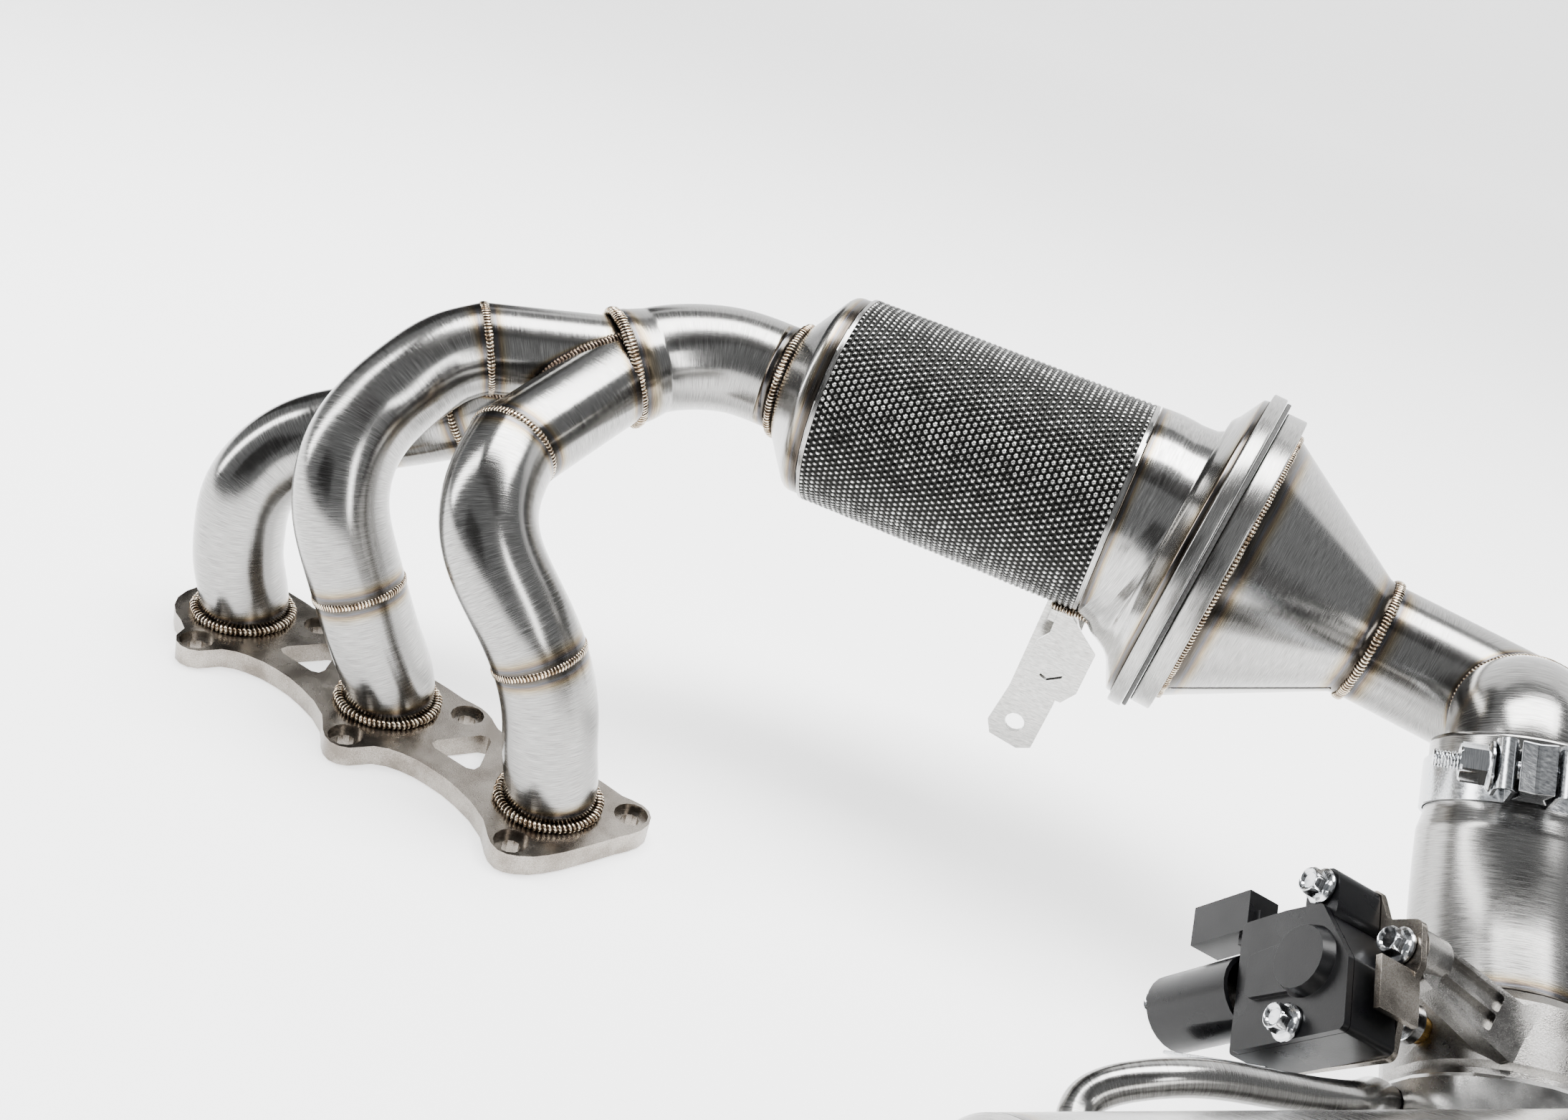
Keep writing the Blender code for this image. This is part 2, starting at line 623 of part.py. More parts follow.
def build_band(band, parent):
    """Band clamp: a strap with two folded ears, a reaction block, a T-bolt and a flange nut."""
    gap_angle = math.radians(33.0)
    radius = SLEEVE_RADIUS + 1.3
    low, high = 9.5, 31.5
    half = 8.2
    ear_out = 66.0
    ear_back = 7.0
    lead = math.asin(half / radius)
    arc = [
        (radius * math.cos(a), radius * math.sin(a))
        for a in np.linspace(lead, 2 * math.pi - lead, 33)
    ]
    fold = [
        (ear_out - 3, half), (ear_out, half + 1.4), (ear_out + 1, half + 3.5),
        (ear_out, half + 5.6), (ear_out - 3, half + ear_back), (48.5, half + ear_back),
    ]
    first = [(x, y) for x, y in reversed(fold)]
    last = [(x, -y) for x, y in fold]
    route = [*first, *arc, *last]
    data = bpy.data.curves.new("band_strap", "CURVE")
    data.dimensions = "3D"
    data.extrude = (high - low) / 2 * MM
    spline = data.splines.new("POLY")
    spline.points.add(len(route) - 1)
    for point, (x, y) in zip(spline.points, route):
        point.co = (x * MM, y * MM, 0.0, 1.0)
    curve = bpy.data.objects.new("band_strap", data)
    PARTS.objects.link(curve)
    mesh = mesh_of(curve, True)
    mesh.name = "band_strap"
    ears = band @ Matrix.Rotation(gap_angle, 4, "Z") @ Matrix.Translation((0, 0, (low + high) / 2))
    strap = put("band_strap", mesh, ears, ZINC, parent, PARTS)
    sheet = strap.modifiers.new("Sheet", "SOLIDIFY")
    sheet.thickness = 1.5 * MM
    sheet.offset = 0.0
    sheet.use_even_offset = True
    bolt_x = 56.0
    across = ears @ Matrix.Translation((bolt_x, 0, 0)) @ Matrix.Rotation(-math.pi / 2, 4, "X")
    hole = cylinder("band_hole", 4.6, 80.0, across, None, parent, CUTTERS, 12)
    boolean(strap, hole)
    hollow = [
        (45.5, -7.0), (56.0, -4.6), (67.0, -7.0), (64.5, 0.0), (67.0, 7.0), (56.0, 4.6),
        (45.5, 7.0), (47.0, 0.0),
    ]
    block_at = ears @ Matrix.Translation((0, 0, -11.0))
    shape = [hollow]
    block = plate("band_block", shape, 22.0, block_at, STEEL_PLATE, parent)
    bore = cylinder("block_hole", 4.5, 40.0, across, None, parent, CUTTERS, 16)
    boolean(block, bore)
    seat = half + ear_back + 1.2
    bolt = [(0.0, 40.0), (4.0, 40.0), (4.0, -seat), (7.5, -seat), (7.5, -seat - 4.0), (0.0, -seat - 4.0)]
    turned("band_bolt", bolt, across, ZINC, parent, None, 12)
    nut = [
        (8.2, seat + 3.5), (11.0, seat + 1.6), (11.0, seat), (4.4, seat),
        (4.4, seat + 3.5),
    ]
    body = turned("band_nut", nut, across, ZINC, parent, None, 16)
    hexagon = cylinder(
        "band_nut_hex", 8.6, 11.0, across @ Matrix.Translation((0, 0, seat + 8.0)), None, parent, CUTTERS, 6
    )
    boolean(body, hexagon, "UNION")
    thread = cylinder(
        "band_nut_bore", 4.4, 60.0, across @ Matrix.Translation((0, 0, seat + 10)), None, parent, CUTTERS, 16
    )
    boolean(body, thread)


def build_valve(frame):
    """Cast valve housing with its ribbed arm, the flap, its shaft and the drive to it."""
    local = Matrix()
    section = [
        (43.0, 19.0), (45.0, 16.5), (48.0, 13.5), (48.0, -13.5), (46.0, -16.0), (46.0, -19.0),
        (VALVE_BORE, -19.0), (VALVE_BORE, 19.0),
    ]
    housing = turned("valve_housing", section, local, CAST, frame, None, 24)
    target = Vector((30.0, 31.5, -3.0))
    way = (target - BOSS).normalized()
    side = way.cross(Vector((0, 0, 1))).normalized()
    arm = frame_of(BOSS, way, side)
    reach = (target - BOSS).length
    outline = rounded([(6, -9.5), (6, 9.5), (12, 10.5), (reach, 13.5), (reach, -13.5), (12, -10.5)], 2.5, 3)
    beam = plate("arm_beam", [outline], 10.0, arm @ Matrix.Translation((0, 0, -5.0)), None, frame, False, CUTTERS)
    boolean(housing, beam, "UNION")
    boss_at = frame_of(BOSS - Vector((1.0, 0, 0)), (0, 0, 1), (1, 0, 0))
    boss = cylinder("arm_boss", 11.0, 13.0, boss_at @ Matrix.Translation((0, 0, -4.0)), None, frame, CUTTERS, 24)
    boolean(housing, boss, "UNION")
    for index, (low, high) in enumerate(((1.2, 8.6), (-8.6, -1.2))):
        corners = [(13, low), (13, high), (38, high + 1.2), (38, low)]
        pocket = plate(
            f"arm_pocket_{index}", [rounded(corners, 1.2, 2)], 6.0,
            arm @ Matrix.Translation((0, 0, 2.0)), None, frame, False, CUTTERS,
        )
        boolean(housing, pocket)
    inside = cylinder("housing_bore", VALVE_BORE, 60.0, local, None, frame, CUTTERS, 28)
    boolean(housing, inside)
    across = frame_of((0, 0, 0), (0, 0, 1), (1, 0, 0))
    shaft_bore = cylinder("shaft_bore", 6.2, 110.0, across, None, frame, CUTTERS, 24)
    boolean(housing, shaft_bore)
    thread = cylinder("boss_thread", 3.4, 16.0, boss_at, None, frame, CUTTERS, 16)
    boolean(housing, thread)

    rod("valve_shaft", [(-46, 0, 0), (97, 0, 0)], SHAFT_RADIUS, STEEL, frame, None, 24)
    for name, start in (("shaft_bush_near", 40.0), ("shaft_bush_far", -52.0)):
        ring(name, 5.9, 4.25, start, start + 12, across, BRASS, frame, None, 24)
    disc = cylinder("valve_flap", 37.6, 2.5, local, STEEL, frame, PARTS, 28)
    hub = cylinder("flap_hub", 7.5, 58.0, across, None, frame, CUTTERS, 20)
    boolean(disc, hub, "UNION")
    hub_bore = cylinder("flap_bore", 4.3, 90.0, across, None, frame, CUTTERS, 20)
    boolean(disc, hub_bore)
    ring("drive_hub", 9.0, 4.4, 53.0, 58.0, across, ZINC, frame, None, 24)
    turns = 3.0
    count = 28
    coil = []
    for i in range(count):
        a = 2 * math.pi * turns * i / (count - 1)
        coil.append((59.8 + 9.6 * i / (count - 1), 8.0 * math.cos(a), 8.0 * math.sin(a)))
    rod("drive_spring", coil, 1.1, STEEL, frame, None, 6)
    ring("drive_dog", 9.0, 4.4, 71.2, 76.5, across, ZINC, frame, None, 24)


def build_actuator(frame):
    """Electric actuator: bracket, housing with motor can and plug, cover, motor and gears."""
    side = frame_of((0, 0, 0), (0, 1, 0), (1, 0, 0))
    edge = rounded(
        [(31, 8), (31, 27), (13, 31), (8, 46), (-8, 46), (-14, 31), (-36, 28), (-36, -27), (18, -29), (22, -8)],
        4.0,
    )
    holes = [circle(0, 0, 11.0, 24), circle(BOSS.y, BOSS.z, 4.4, 12), circle(0, 38, 3.4, 12), circle(-10, -21, 3.4, 12)]
    bracket = plate("actuator_bracket", [edge, *holes], 3.0, side @ Matrix.Translation((0, 0, 77.8)), STEEL_PLATE, frame)
    tab = box("bracket_tab", (20.0, 3.0, 22.0), Matrix.Translation((88.0, 26.5, -6.0)), None, frame, CUTTERS)
    boolean(bracket, tab, "UNION")
    foot = box("bracket_foot", (3.0, 12.0, 14.0), Matrix.Translation((79.3, 22.0, -6.0)), None, frame, CUTTERS)
    boolean(bracket, foot, "UNION")

    body_edge = rounded([(20, -28), (20, 2), (4, 28.5), (-16, 30), (-46, 30), (-46, -28)], 3.0)
    lid_edge = rounded([(20, -28), (20, 2), (4, 28.5), (-16, 30), (-42, 30), (-42, -28)], 3.0)
    body = plate("actuator_housing", [body_edge], 22.5, side @ Matrix.Translation((0, 0, 81.2)), PLASTIC, frame)
    motor_way = frame_of((MOTOR_X, 0, MOTOR_Z), (0, 0, 1), (0, -1, 0))
    can = cylinder("motor_can", MOTOR_RADIUS, 50.0, motor_way @ Matrix.Translation((0, 0, 69.5)), None, frame, CUTTERS, 24)
    boolean(body, can, "UNION")
    ear = plate(
        "top_ear", [rounded([(9, 22), (9, 46), (-9, 46), (-9, 22)], 6.0)], 22.5,
        side @ Matrix.Translation((0, 0, 81.2)), None, frame, False, CUTTERS,
    )
    boolean(body, ear, "UNION")
    far_lug = box("far_lug", (7.0, 26.0, 15.0), Matrix.Translation((90.0, -98.0, 9.0)), None, frame, CUTTERS)
    boolean(body, far_lug, "UNION")
    plug = box("plug_shell", (16.0, 36.0, 19.0), Matrix.Translation((97.0, -60.0, 38.0)), None, frame, CUTTERS)
    boolean(body, plug, "UNION")
    plug_root = box("plug_root", (14.0, 12.0, 14.0), Matrix.Translation((95.0, -44.0, 31.0)), None, frame, CUTTERS)
    boolean(body, plug_root, "UNION")
    socket = box("plug_socket", (12.0, 24.0, 15.0), Matrix.Translation((97.0, -70.0, 38.0)), None, frame, CUTTERS)
    boolean(body, socket)
    room_edge = rounded([(17.6, -25.4), (17.6, 2.6), (3.2, 26), (-16, 27.4), (-41, 27.4), (-41, -25.4)], 2.0, 2)
    room = plate("gear_room", [room_edge], 24.0, side @ Matrix.Translation((0, 0, 84.2)), None, frame, False, CUTTERS)
    boolean(body, room)
    motor_room = cylinder(
        "motor_room", MOTOR_RADIUS - 2.0, 54.0, motor_way @ Matrix.Translation((0, 0, 65.0)), None, frame, CUTTERS, 24
    )
    boolean(body, motor_room)
    post = cylinder(
        "front_post", 5.5, 22.0, side @ Matrix.Translation((-10, -21, 92.6)), None, frame, CUTTERS, 16
    )
    boolean(body, post, "UNION")
    drillings = (("shaft_exit", 0.0, 0.0, 5.2), ("top_hole", 0.0, 38.0, 3.3), ("front_hole", -10.0, -21.0, 3.3), ("far_hole", -105.0, 9.0, 3.3))
    for name, y, z, radius in drillings:
        drill = cylinder(name, radius, 70.0, side @ Matrix.Translation((y, z, 95.0)), None, frame, CUTTERS, 16)
        boolean(body, drill)

    cover = plate("gear_cover", [lid_edge], 3.0, side @ Matrix.Translation((0, 0, 104.0)), PLASTIC, frame)
    dome = cylinder("cover_dome", 16.0, 6.0, side @ Matrix.Translation((-2, 4, 109.0)), None, frame, CUTTERS, 24, 13.5)
    boolean(cover, dome, "UNION")
    hump = plate(
        "cover_hump", [rounded([(-1, -9), (-1, 15), (-34, 12), (-34, -7)], 3.0, 2)], 3.0,
        side @ Matrix.Translation((0, 0, 106.5)), None, frame, False, CUTTERS,
    )
    boolean(cover, hump, "UNION")
    clear = cylinder("cover_lug", 3.3, 12.0, side @ Matrix.Translation((-10, -21, 106.0)), None, frame, CUTTERS, 12)
    boolean(cover, clear)

    rotor = [
        (0.0, 88.0), (2.0, 88.0), (2.0, 86.0), (12.0, 86.0), (12.0, 52.0), (2.0, 52.0), (2.0, 37.0),
        (4.0, 37.0), (4.0, 15.0), (0.0, 15.0),
    ]
    turned("motor_rotor", rotor, motor_way, STEEL, frame, None, 20)
    wheel = frame_of((0, WHEEL_Y, WHEEL_Z), (0, 0, 1), (1, 0, 0))
    gear = [(0.0, 99.0), (9.8, 99.0), (9.8, 91.5), (5.0, 91.5), (5.0, 90.0), (11.8, 90.0), (11.8, 86.0), (0.0, 86.0)]
    turned("worm_wheel", gear, wheel, BRASS, frame, None, 24)
    ring("output_gear", 16.0, 4.4, 86.0, 90.0, frame_of((0, 0, 0), (0, 0, 1), (1, 0, 0)), BRASS, frame, None, 24)

    seats = (
        ("bolt_top", 0.0, 38.0, 104.2, 21.0), ("bolt_front", -10.0, -21.0, 107.2, 24.0),
        ("bolt_boss", BOSS.y, BOSS.z, 81.2, 9.0), ("bolt_far", -105.0, 9.0, 93.8, 14.0),
    )
    for name, y, z, seat, length in seats:
        flange_bolt(name, side @ Matrix.Translation((y, z, seat)), 5.6, 8.0, 3.0, length, frame)

    slope = Matrix.Rotation(math.radians(-14.5), 4, "X")
    guard_at = Matrix.Translation((94.0, -52.0, -29.6)) @ slope
    box("actuator_heat_plate", (27.0, 66.0, 1.5), guard_at, STEEL, frame, PARTS)


def build_muffler(parent, frame):
    way = Vector((math.cos(MUFFLER_TURN), math.sin(MUFFLER_TURN), 0.0))
    drum = frame_of(MUFFLER_CENTRE, (0, 0, 1), way)
    half = MUFFLER_LENGTH / 2
    radius = MUFFLER_RADIUS
    shell = ring("muffler_shell", radius, radius - 1.5, -half + 8, half - 8, drum, STEEL, parent, None, 24)
    neck = [
        (47.0, -19.4), (50.5, -20.2), (51.5, -22.0), (50.0, -38.0), (42.0, -56.0), (42.0, -130.0),
        (40.2, -130.0), (40.2, -56.6), (48.2, -38.4), (49.6, -22.8), (40.5, -22.0), (40.5, -19.4),
    ]
    inlet = turned("muffler_inlet", neck, Matrix(), STEEL, frame, None, 24)
    drum_solid = cylinder("drum_solid", radius + 1.4, MUFFLER_LENGTH + 80, drum, None, parent, CUTTERS, 28)
    boolean(inlet, drum_solid)
    valve_way = (VALVE_CENTRE - DOWN_CORNER).normalized()
    opening = cylinder(
        "inlet_opening", 40.0, 150.0, along(VALVE_CENTRE + valve_way * 75, valve_way), None, parent, CUTTERS, 36
    )
    boolean(shell, opening)
    outer = [
        (0.0, half + 6), (40.0, half + 6), (78.0, half + 3), (92.0, half - 3.0), (radius, half - 6.0),
        (radius, half - 7.7), (0.0, half - 7.7),
    ]
    turned("muffler_cap_closed", outer, drum, STEEL, parent, None, 24)
    flip = drum @ Matrix.Rotation(math.pi, 4, "X")
    holed = [
        (78.0, half + 3), (92.0, half - 3.0), (radius, half - 6.0),
        (radius, half - 7.7), (TAIL_RADIUS + 0.4, half - 7.7), (TAIL_RADIUS + 0.4, half + 6),
    ]
    turned("muffler_cap_outlet", holed, flip, STEEL, parent, None, 24)
    ring("tail_pipe", TAIL_RADIUS, TAIL_RADIUS - 1.6, half - 30, half + 55, flip, STEEL, parent, None, 24)
    ring("core_tube", TAIL_RADIUS, TAIL_RADIUS - 1.6, -half + 12, half - 30.5, flip, STEEL, parent, None, 24)

    route = smooth_path(BYPASS_ROUTE, 14)
    hollow_tube("bypass_tube", route, 7.0, 1.5, STEEL, parent, 8)
    end = rod("bypass_hole", route, 7.4, None, parent, CUTTERS, 12)
    boolean(shell, end)
    boolean(inlet, end)


BYPASS_ROUTE = [
    (452, -148, 122), (440, -134, 126), (437, -122, 131), (450, -108, 141), (467.5, -93, 144),
    (488, -75, 141), (522, -38, 131), (533, -5, 113), (549, 8, 101),
]
VIEW_SIDE = (0.55, -0.75, 0.45)

clear_scene()
PARTS = new_collection("racing_exhaust_system")
CUTTERS = new_collection("cutters")
CUTTERS.hide_render = True

STEEL = new_material("brushed_stainless_tube", "B9B8B5", 0.28, 1.0)
STEEL_PLATE = new_material("laser_cut_stainless_plate", "A9A8A5", 0.38, 1.0)
WELD = new_material("weld_bead", "A79F92", 0.3, 1.0)
EMBOSSED = new_material("embossed_heat_shield_foil", "C9C9C7", 0.22, 1.0)
MAT = new_material("ceramic_fibre_mat", "CFC8B8", 0.95, 0.0)
SUBSTRATE = new_material("metal_honeycomb", "7E7B76", 0.5, 1.0)
GASKET = new_material("graphite_gasket", "4A4A4A", 0.6, 0.3)
ZINC = new_material("bright_zinc", "D2D4D6", 0.2, 1.0)
CAST = new_material("cast_steel", "8F8C88", 0.45, 1.0)
BRASS = new_material("bronze", "A8864A", 0.35, 1.0)
PLASTIC = new_material("black_glass_filled_nylon", "1C1C1D", 0.5, 0.0)

datum = bpy.data.objects.new("datum", None)
PARTS.objects.link(datum)
datum.location = (-DATUM_X * MM, -DATUM_Y * MM, 0.0)
down = (VALVE_CENTRE - DOWN_CORNER).normalized()
valve_frame = bpy.data.objects.new("valve_frame", None)
PARTS.objects.link(valve_frame)
valve_frame.parent = datum
placed = frame_of(VALVE_CENTRE, (-0.81, -0.485, 0.32), -down)
placed.translation = VALVE_CENTRE * MM
valve_frame.matrix_basis = placed
bpy.context.view_layer.update()

build_header(datum)
build_cat(datum)
build_link(datum)
build_valve(valve_frame)
build_actuator(valve_frame)
build_muffler(datum, valve_frame)
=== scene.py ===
import math

import bmesh
import bpy
import numpy as np
from mathutils import Matrix, Vector


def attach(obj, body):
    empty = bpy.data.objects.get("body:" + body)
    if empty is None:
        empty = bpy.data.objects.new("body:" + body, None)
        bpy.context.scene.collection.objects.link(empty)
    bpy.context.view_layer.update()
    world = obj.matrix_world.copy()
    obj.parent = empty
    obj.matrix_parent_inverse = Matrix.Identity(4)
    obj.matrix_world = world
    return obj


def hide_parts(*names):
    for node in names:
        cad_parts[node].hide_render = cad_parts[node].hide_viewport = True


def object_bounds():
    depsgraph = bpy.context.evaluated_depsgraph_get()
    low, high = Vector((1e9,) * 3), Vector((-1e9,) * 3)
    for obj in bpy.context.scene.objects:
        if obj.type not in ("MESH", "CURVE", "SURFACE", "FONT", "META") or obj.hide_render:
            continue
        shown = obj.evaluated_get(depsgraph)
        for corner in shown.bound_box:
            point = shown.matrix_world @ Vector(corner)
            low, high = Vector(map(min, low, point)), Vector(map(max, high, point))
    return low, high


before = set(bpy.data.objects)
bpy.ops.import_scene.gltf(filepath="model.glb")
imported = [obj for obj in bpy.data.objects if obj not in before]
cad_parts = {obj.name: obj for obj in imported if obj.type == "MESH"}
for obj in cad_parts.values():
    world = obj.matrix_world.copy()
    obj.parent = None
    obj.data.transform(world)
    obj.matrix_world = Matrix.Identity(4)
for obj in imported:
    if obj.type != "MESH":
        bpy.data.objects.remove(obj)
CAD_BOX = [list(corner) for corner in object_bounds()]

bl_info = {
    "name": "Racing Exhaust Bank",
    "version": (1, 0, 0),
    "blender": (4, 5, 0),
    "location": "View3D > Sidebar > Exhaust",
    "description": "Three-port header, converter, link pipe and valved muffler in welded stainless",
    "category": "Add Mesh",
}

# Lengths below are in millimetres from the middle port, on the gasket face of the head flange.
DATUM = np.array([59.0, -21.0, 0.0])
PORTS = (-118.0, 0.0, 118.0)
OUTLET = np.array([36.6, 112.3, 210.7])
CAT_START = np.array([110.0, 168.5, 222.6])
FLANGE_START = np.array([348.4, 211.9, 211.7])
HEEL = np.array([532.7, 230.0, 194.0])
CORNER = np.array([526.3, 157.3, 219.9])
DOWN_CORNER = np.array([553.0, 104.0, 153.0])
VALVE = np.array([574.5, 45.0, 118.0])
DRUM = np.array([580.0, -140.0, 115.9])
CAMERA = np.array([460.0, -550.0, 501.0])
CAMERA_FOCAL, CAMERA_WIDTH = 2050, 2188


def unit(v):
    v = np.asarray(v, float)
    return v / np.linalg.norm(v)


MERGE = unit((0.56, 0.77, 0.31))
APEX = OUTLET + MERGE * 11
CAT_AXIS = unit((0.983, 0.183, -0.023))
LINK_AXIS = unit((0.990, 0.097, -0.096))
HEEL_WAY = unit(CORNER - HEEL)
DOWN_WAY = unit(DOWN_CORNER - CORNER)
VALVE_WAY = unit(VALVE - DOWN_CORNER)

JOINTS = np.array([(-40.7, 76.2, 157.6), (-22.3, 64.5, 207.4), (37.3, 23.0, 182.0)])
ROUTES = (
    [(-118, 0, 2), (-118, 0, 10), (-118, 0, 18), (-121.5, -3.7, 46), (-122.6, -3.9, 67), (-122, -1, 89),
     (-115, 11, 112), (-102, 26, 127.5), (-86.1, 44.5, 135.7), (-66.6, 58.7, 144.4)],
    [(0, 0, 2), (0, 0, 10), (0, 0, 18), (-7.5, -6.6, 47.8), (-16.2, -13.7, 76), (-25.4, -17.9, 101),
     (-33.5, -19.5, 123), (-38.8, -15.8, 139.5), (-43.5, -4.5, 157.5), (-44.5, 12, 172.5),
     (-39.4, 30.2, 188.2), (-33.2, 47.8, 200)],
    [(118, 0, 2), (118, 0, 10), (118, 0, 18), (114.6, -2.5, 42), (111.3, -4.3, 64.5), (105.2, -6.7, 86),
     (94.3, -10.5, 108), (78.3, -13.4, 127.7), (65.9, -14, 142), (54.5, -9.5, 157), (45.2, 3.5, 171)],
)
# Where each tube's own bends are butt welded, as a share of its length.
TUBE_SEAMS = ((0.80,), (0.33,), (0.45,))
BYPASS = [(452, -148, 122), (440, -134, 126), (437, -122, 131), (450, -108, 141), (467.5, -93, 144),
          (488, -75, 141), (522, -38, 131), (533, -5, 113), (549, 8, 101)]


# Geometry ------------------------------------------------------------------------------------


def turn_of(z_axis, x_axis=None):
    """3 by 3 matrix whose columns are X, Y and Z of a frame with this Z and nearest this X."""
    z = unit(z_axis)
    if x_axis is None:
        x_axis = (0, 0, 1) if abs(z[2]) < 0.9 else (1, 0, 0)
    x = np.asarray(x_axis, float)
    x = unit(x - x.dot(z) * z)
    return np.stack([x, np.cross(z, x), z], axis=1)


VALVE_TURN = turn_of(-VALVE_WAY, (-0.81, -0.485, 0.32))


def valve_point(points):
    """Points of the valve's own frame (along its shaft, across, up the pipe) in the header frame."""
    return VALVE + np.asarray(points, float) @ VALVE_TURN.T


def spline_path(points, count):
    """Points at even steps along the natural cubic spline through the given ones."""
    given = np.array(points, float)
    steps = np.linalg.norm(np.diff(given, axis=0), axis=1)
    knots = np.concatenate([[0.0], np.cumsum(steps)])
    size = len(given)
    matrix = np.eye(size)
    right = np.zeros((size, 3))
    inner = np.arange(1, size - 1)
    matrix[inner, inner - 1] = steps[:-1]
    matrix[inner, inner] = 2 * (steps[:-1] + steps[1:])
    matrix[inner, inner + 1] = steps[1:]
    slopes = np.diff(given, axis=0) / steps[:, None]
    right[inner] = 6 * np.diff(slopes, axis=0)
    second = np.linalg.solve(matrix, right)
    s = np.linspace(0, knots[-1], count)
    i = np.clip(np.searchsorted(knots, s, side="right") - 1, 0, size - 2)
    h = steps[i][:, None]
    a = (knots[i + 1] - s)[:, None] / h
    b = 1 - a
    bend = ((a**3 - a) * second[i] + (b**3 - b) * second[i + 1]) * h * h / 6
    return a * given[i] + b * given[i + 1] + bend


def bent_path(start, corner, end, radius, steps=40):
    """A straight leg, an arc of the given radius in the plane of both legs, and a straight leg."""
    first = unit(corner - start)
    second = unit(end - corner)
    turn = math.acos(np.clip(first @ second, -1, 1))
    reach = radius * math.tan(turn / 2)
    centre = corner + unit(second - first) * radius / math.cos(turn / 2)
    spoke = corner - first * reach - centre
    angle = np.linspace(0, turn, steps)[:, None]
    arc = centre + np.cos(angle) * spoke + np.sin(angle) * first * radius
    before = np.linspace(start, corner - first * reach, 12)[:-1]
    after = np.linspace(corner + second * reach, end, 16)[1:]
    return np.concatenate([before, arc, after])


def carried_frames(path):
    """Tangent, side and up at each point, the side turned as little as possible from one to the next."""
    tangent = np.gradient(path, axis=0)
    tangent /= np.linalg.norm(tangent, axis=1)[:, None]
    side = np.zeros_like(path)
    side[0] = turn_of(tangent[0])[:, 0]
    for k in range(1, len(path)):
        s = side[k - 1] - side[k - 1].dot(tangent[k]) * tangent[k]
        side[k] = s / np.linalg.norm(s)
    return tangent, side, np.cross(tangent, side)


def grid_object(name, points, wrap_rows, wrap_columns, uv=None, heat=None):
    """A surface from a grid of points in millimetres: quads join each point to the next row and column.

    Rows or columns that wrap close on their first. The grid's own plane coordinates, in millimetres,
    go into the map "surface", and closeness to a weld into the first axis of the map "heat". On the heat
    shield foil that axis holds the bump height instead, which paints shade in the valleys and a highlight on the
    crowns.
    """
    rows, columns = points.shape[:2]
    r = np.arange(rows if wrap_rows else rows - 1)
    c = np.arange(columns if wrap_columns else columns - 1)
    r, c = np.meshgrid(r, c, indexing="ij")
    r2 = (r + 1) % rows
    c2 = (c + 1) % columns
    quads = np.stack([r * columns + c, r * columns + c2, r2 * columns + c2, r2 * columns + c], -1)
    quads = quads.reshape(-1, 4)
    mesh = bpy.data.meshes.new(name)
    co = (points.reshape(-1, 3) - DATUM) / 1000
    mesh.vertices.add(len(co))
    mesh.vertices.foreach_set("co", co.astype(np.float32).ravel())
    mesh.loops.add(quads.size)
    mesh.loops.foreach_set("vertex_index", quads.astype(np.int32).ravel())
    mesh.polygons.add(len(quads))
    mesh.polygons.foreach_set("loop_start", np.arange(0, quads.size, 4, dtype=np.int32))
    mesh.update(calc_edges=True)
    if uv is not None:
        layer = mesh.uv_layers.new(name="surface")
        layer.data.foreach_set("uv", uv.reshape(-1, 2)[quads.ravel()].astype(np.float32).ravel())
    values = np.zeros(rows * columns) if heat is None else heat.ravel()
    layer = mesh.uv_layers.new(name="heat")
    pairs = np.stack([values, values], 1)[quads.ravel()]
    layer.data.foreach_set("uv", pairs.astype(np.float32).ravel())
    mesh.polygons.foreach_set("use_smooth", np.ones(len(quads), bool))
    obj = bpy.data.objects.new(name, mesh)
    bpy.context.scene.collection.objects.link(obj)
    volume = signed_volume(co, quads)
    if volume < 0:
        mesh.flip_normals()
    return obj


def signed_volume(co, quads):
    """Sum of the tetrahedra from the origin to each quad: negative where the faces point inwards."""
    a, b, c, d = (co[quads[:, i]] for i in range(4))
    return float((np.einsum("ij,ij->i", a, np.cross(b, c) + np.cross(c, d))).sum())


def finish_piece(obj, material, body, *nodes):
    obj.data.materials.append(material)
    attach(obj, body)
    if nodes:
        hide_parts(*nodes)
    return obj


def sharpen(obj, degrees=35):
    obj.data.set_sharp_from_angle(angle=math.radians(degrees))
    return obj


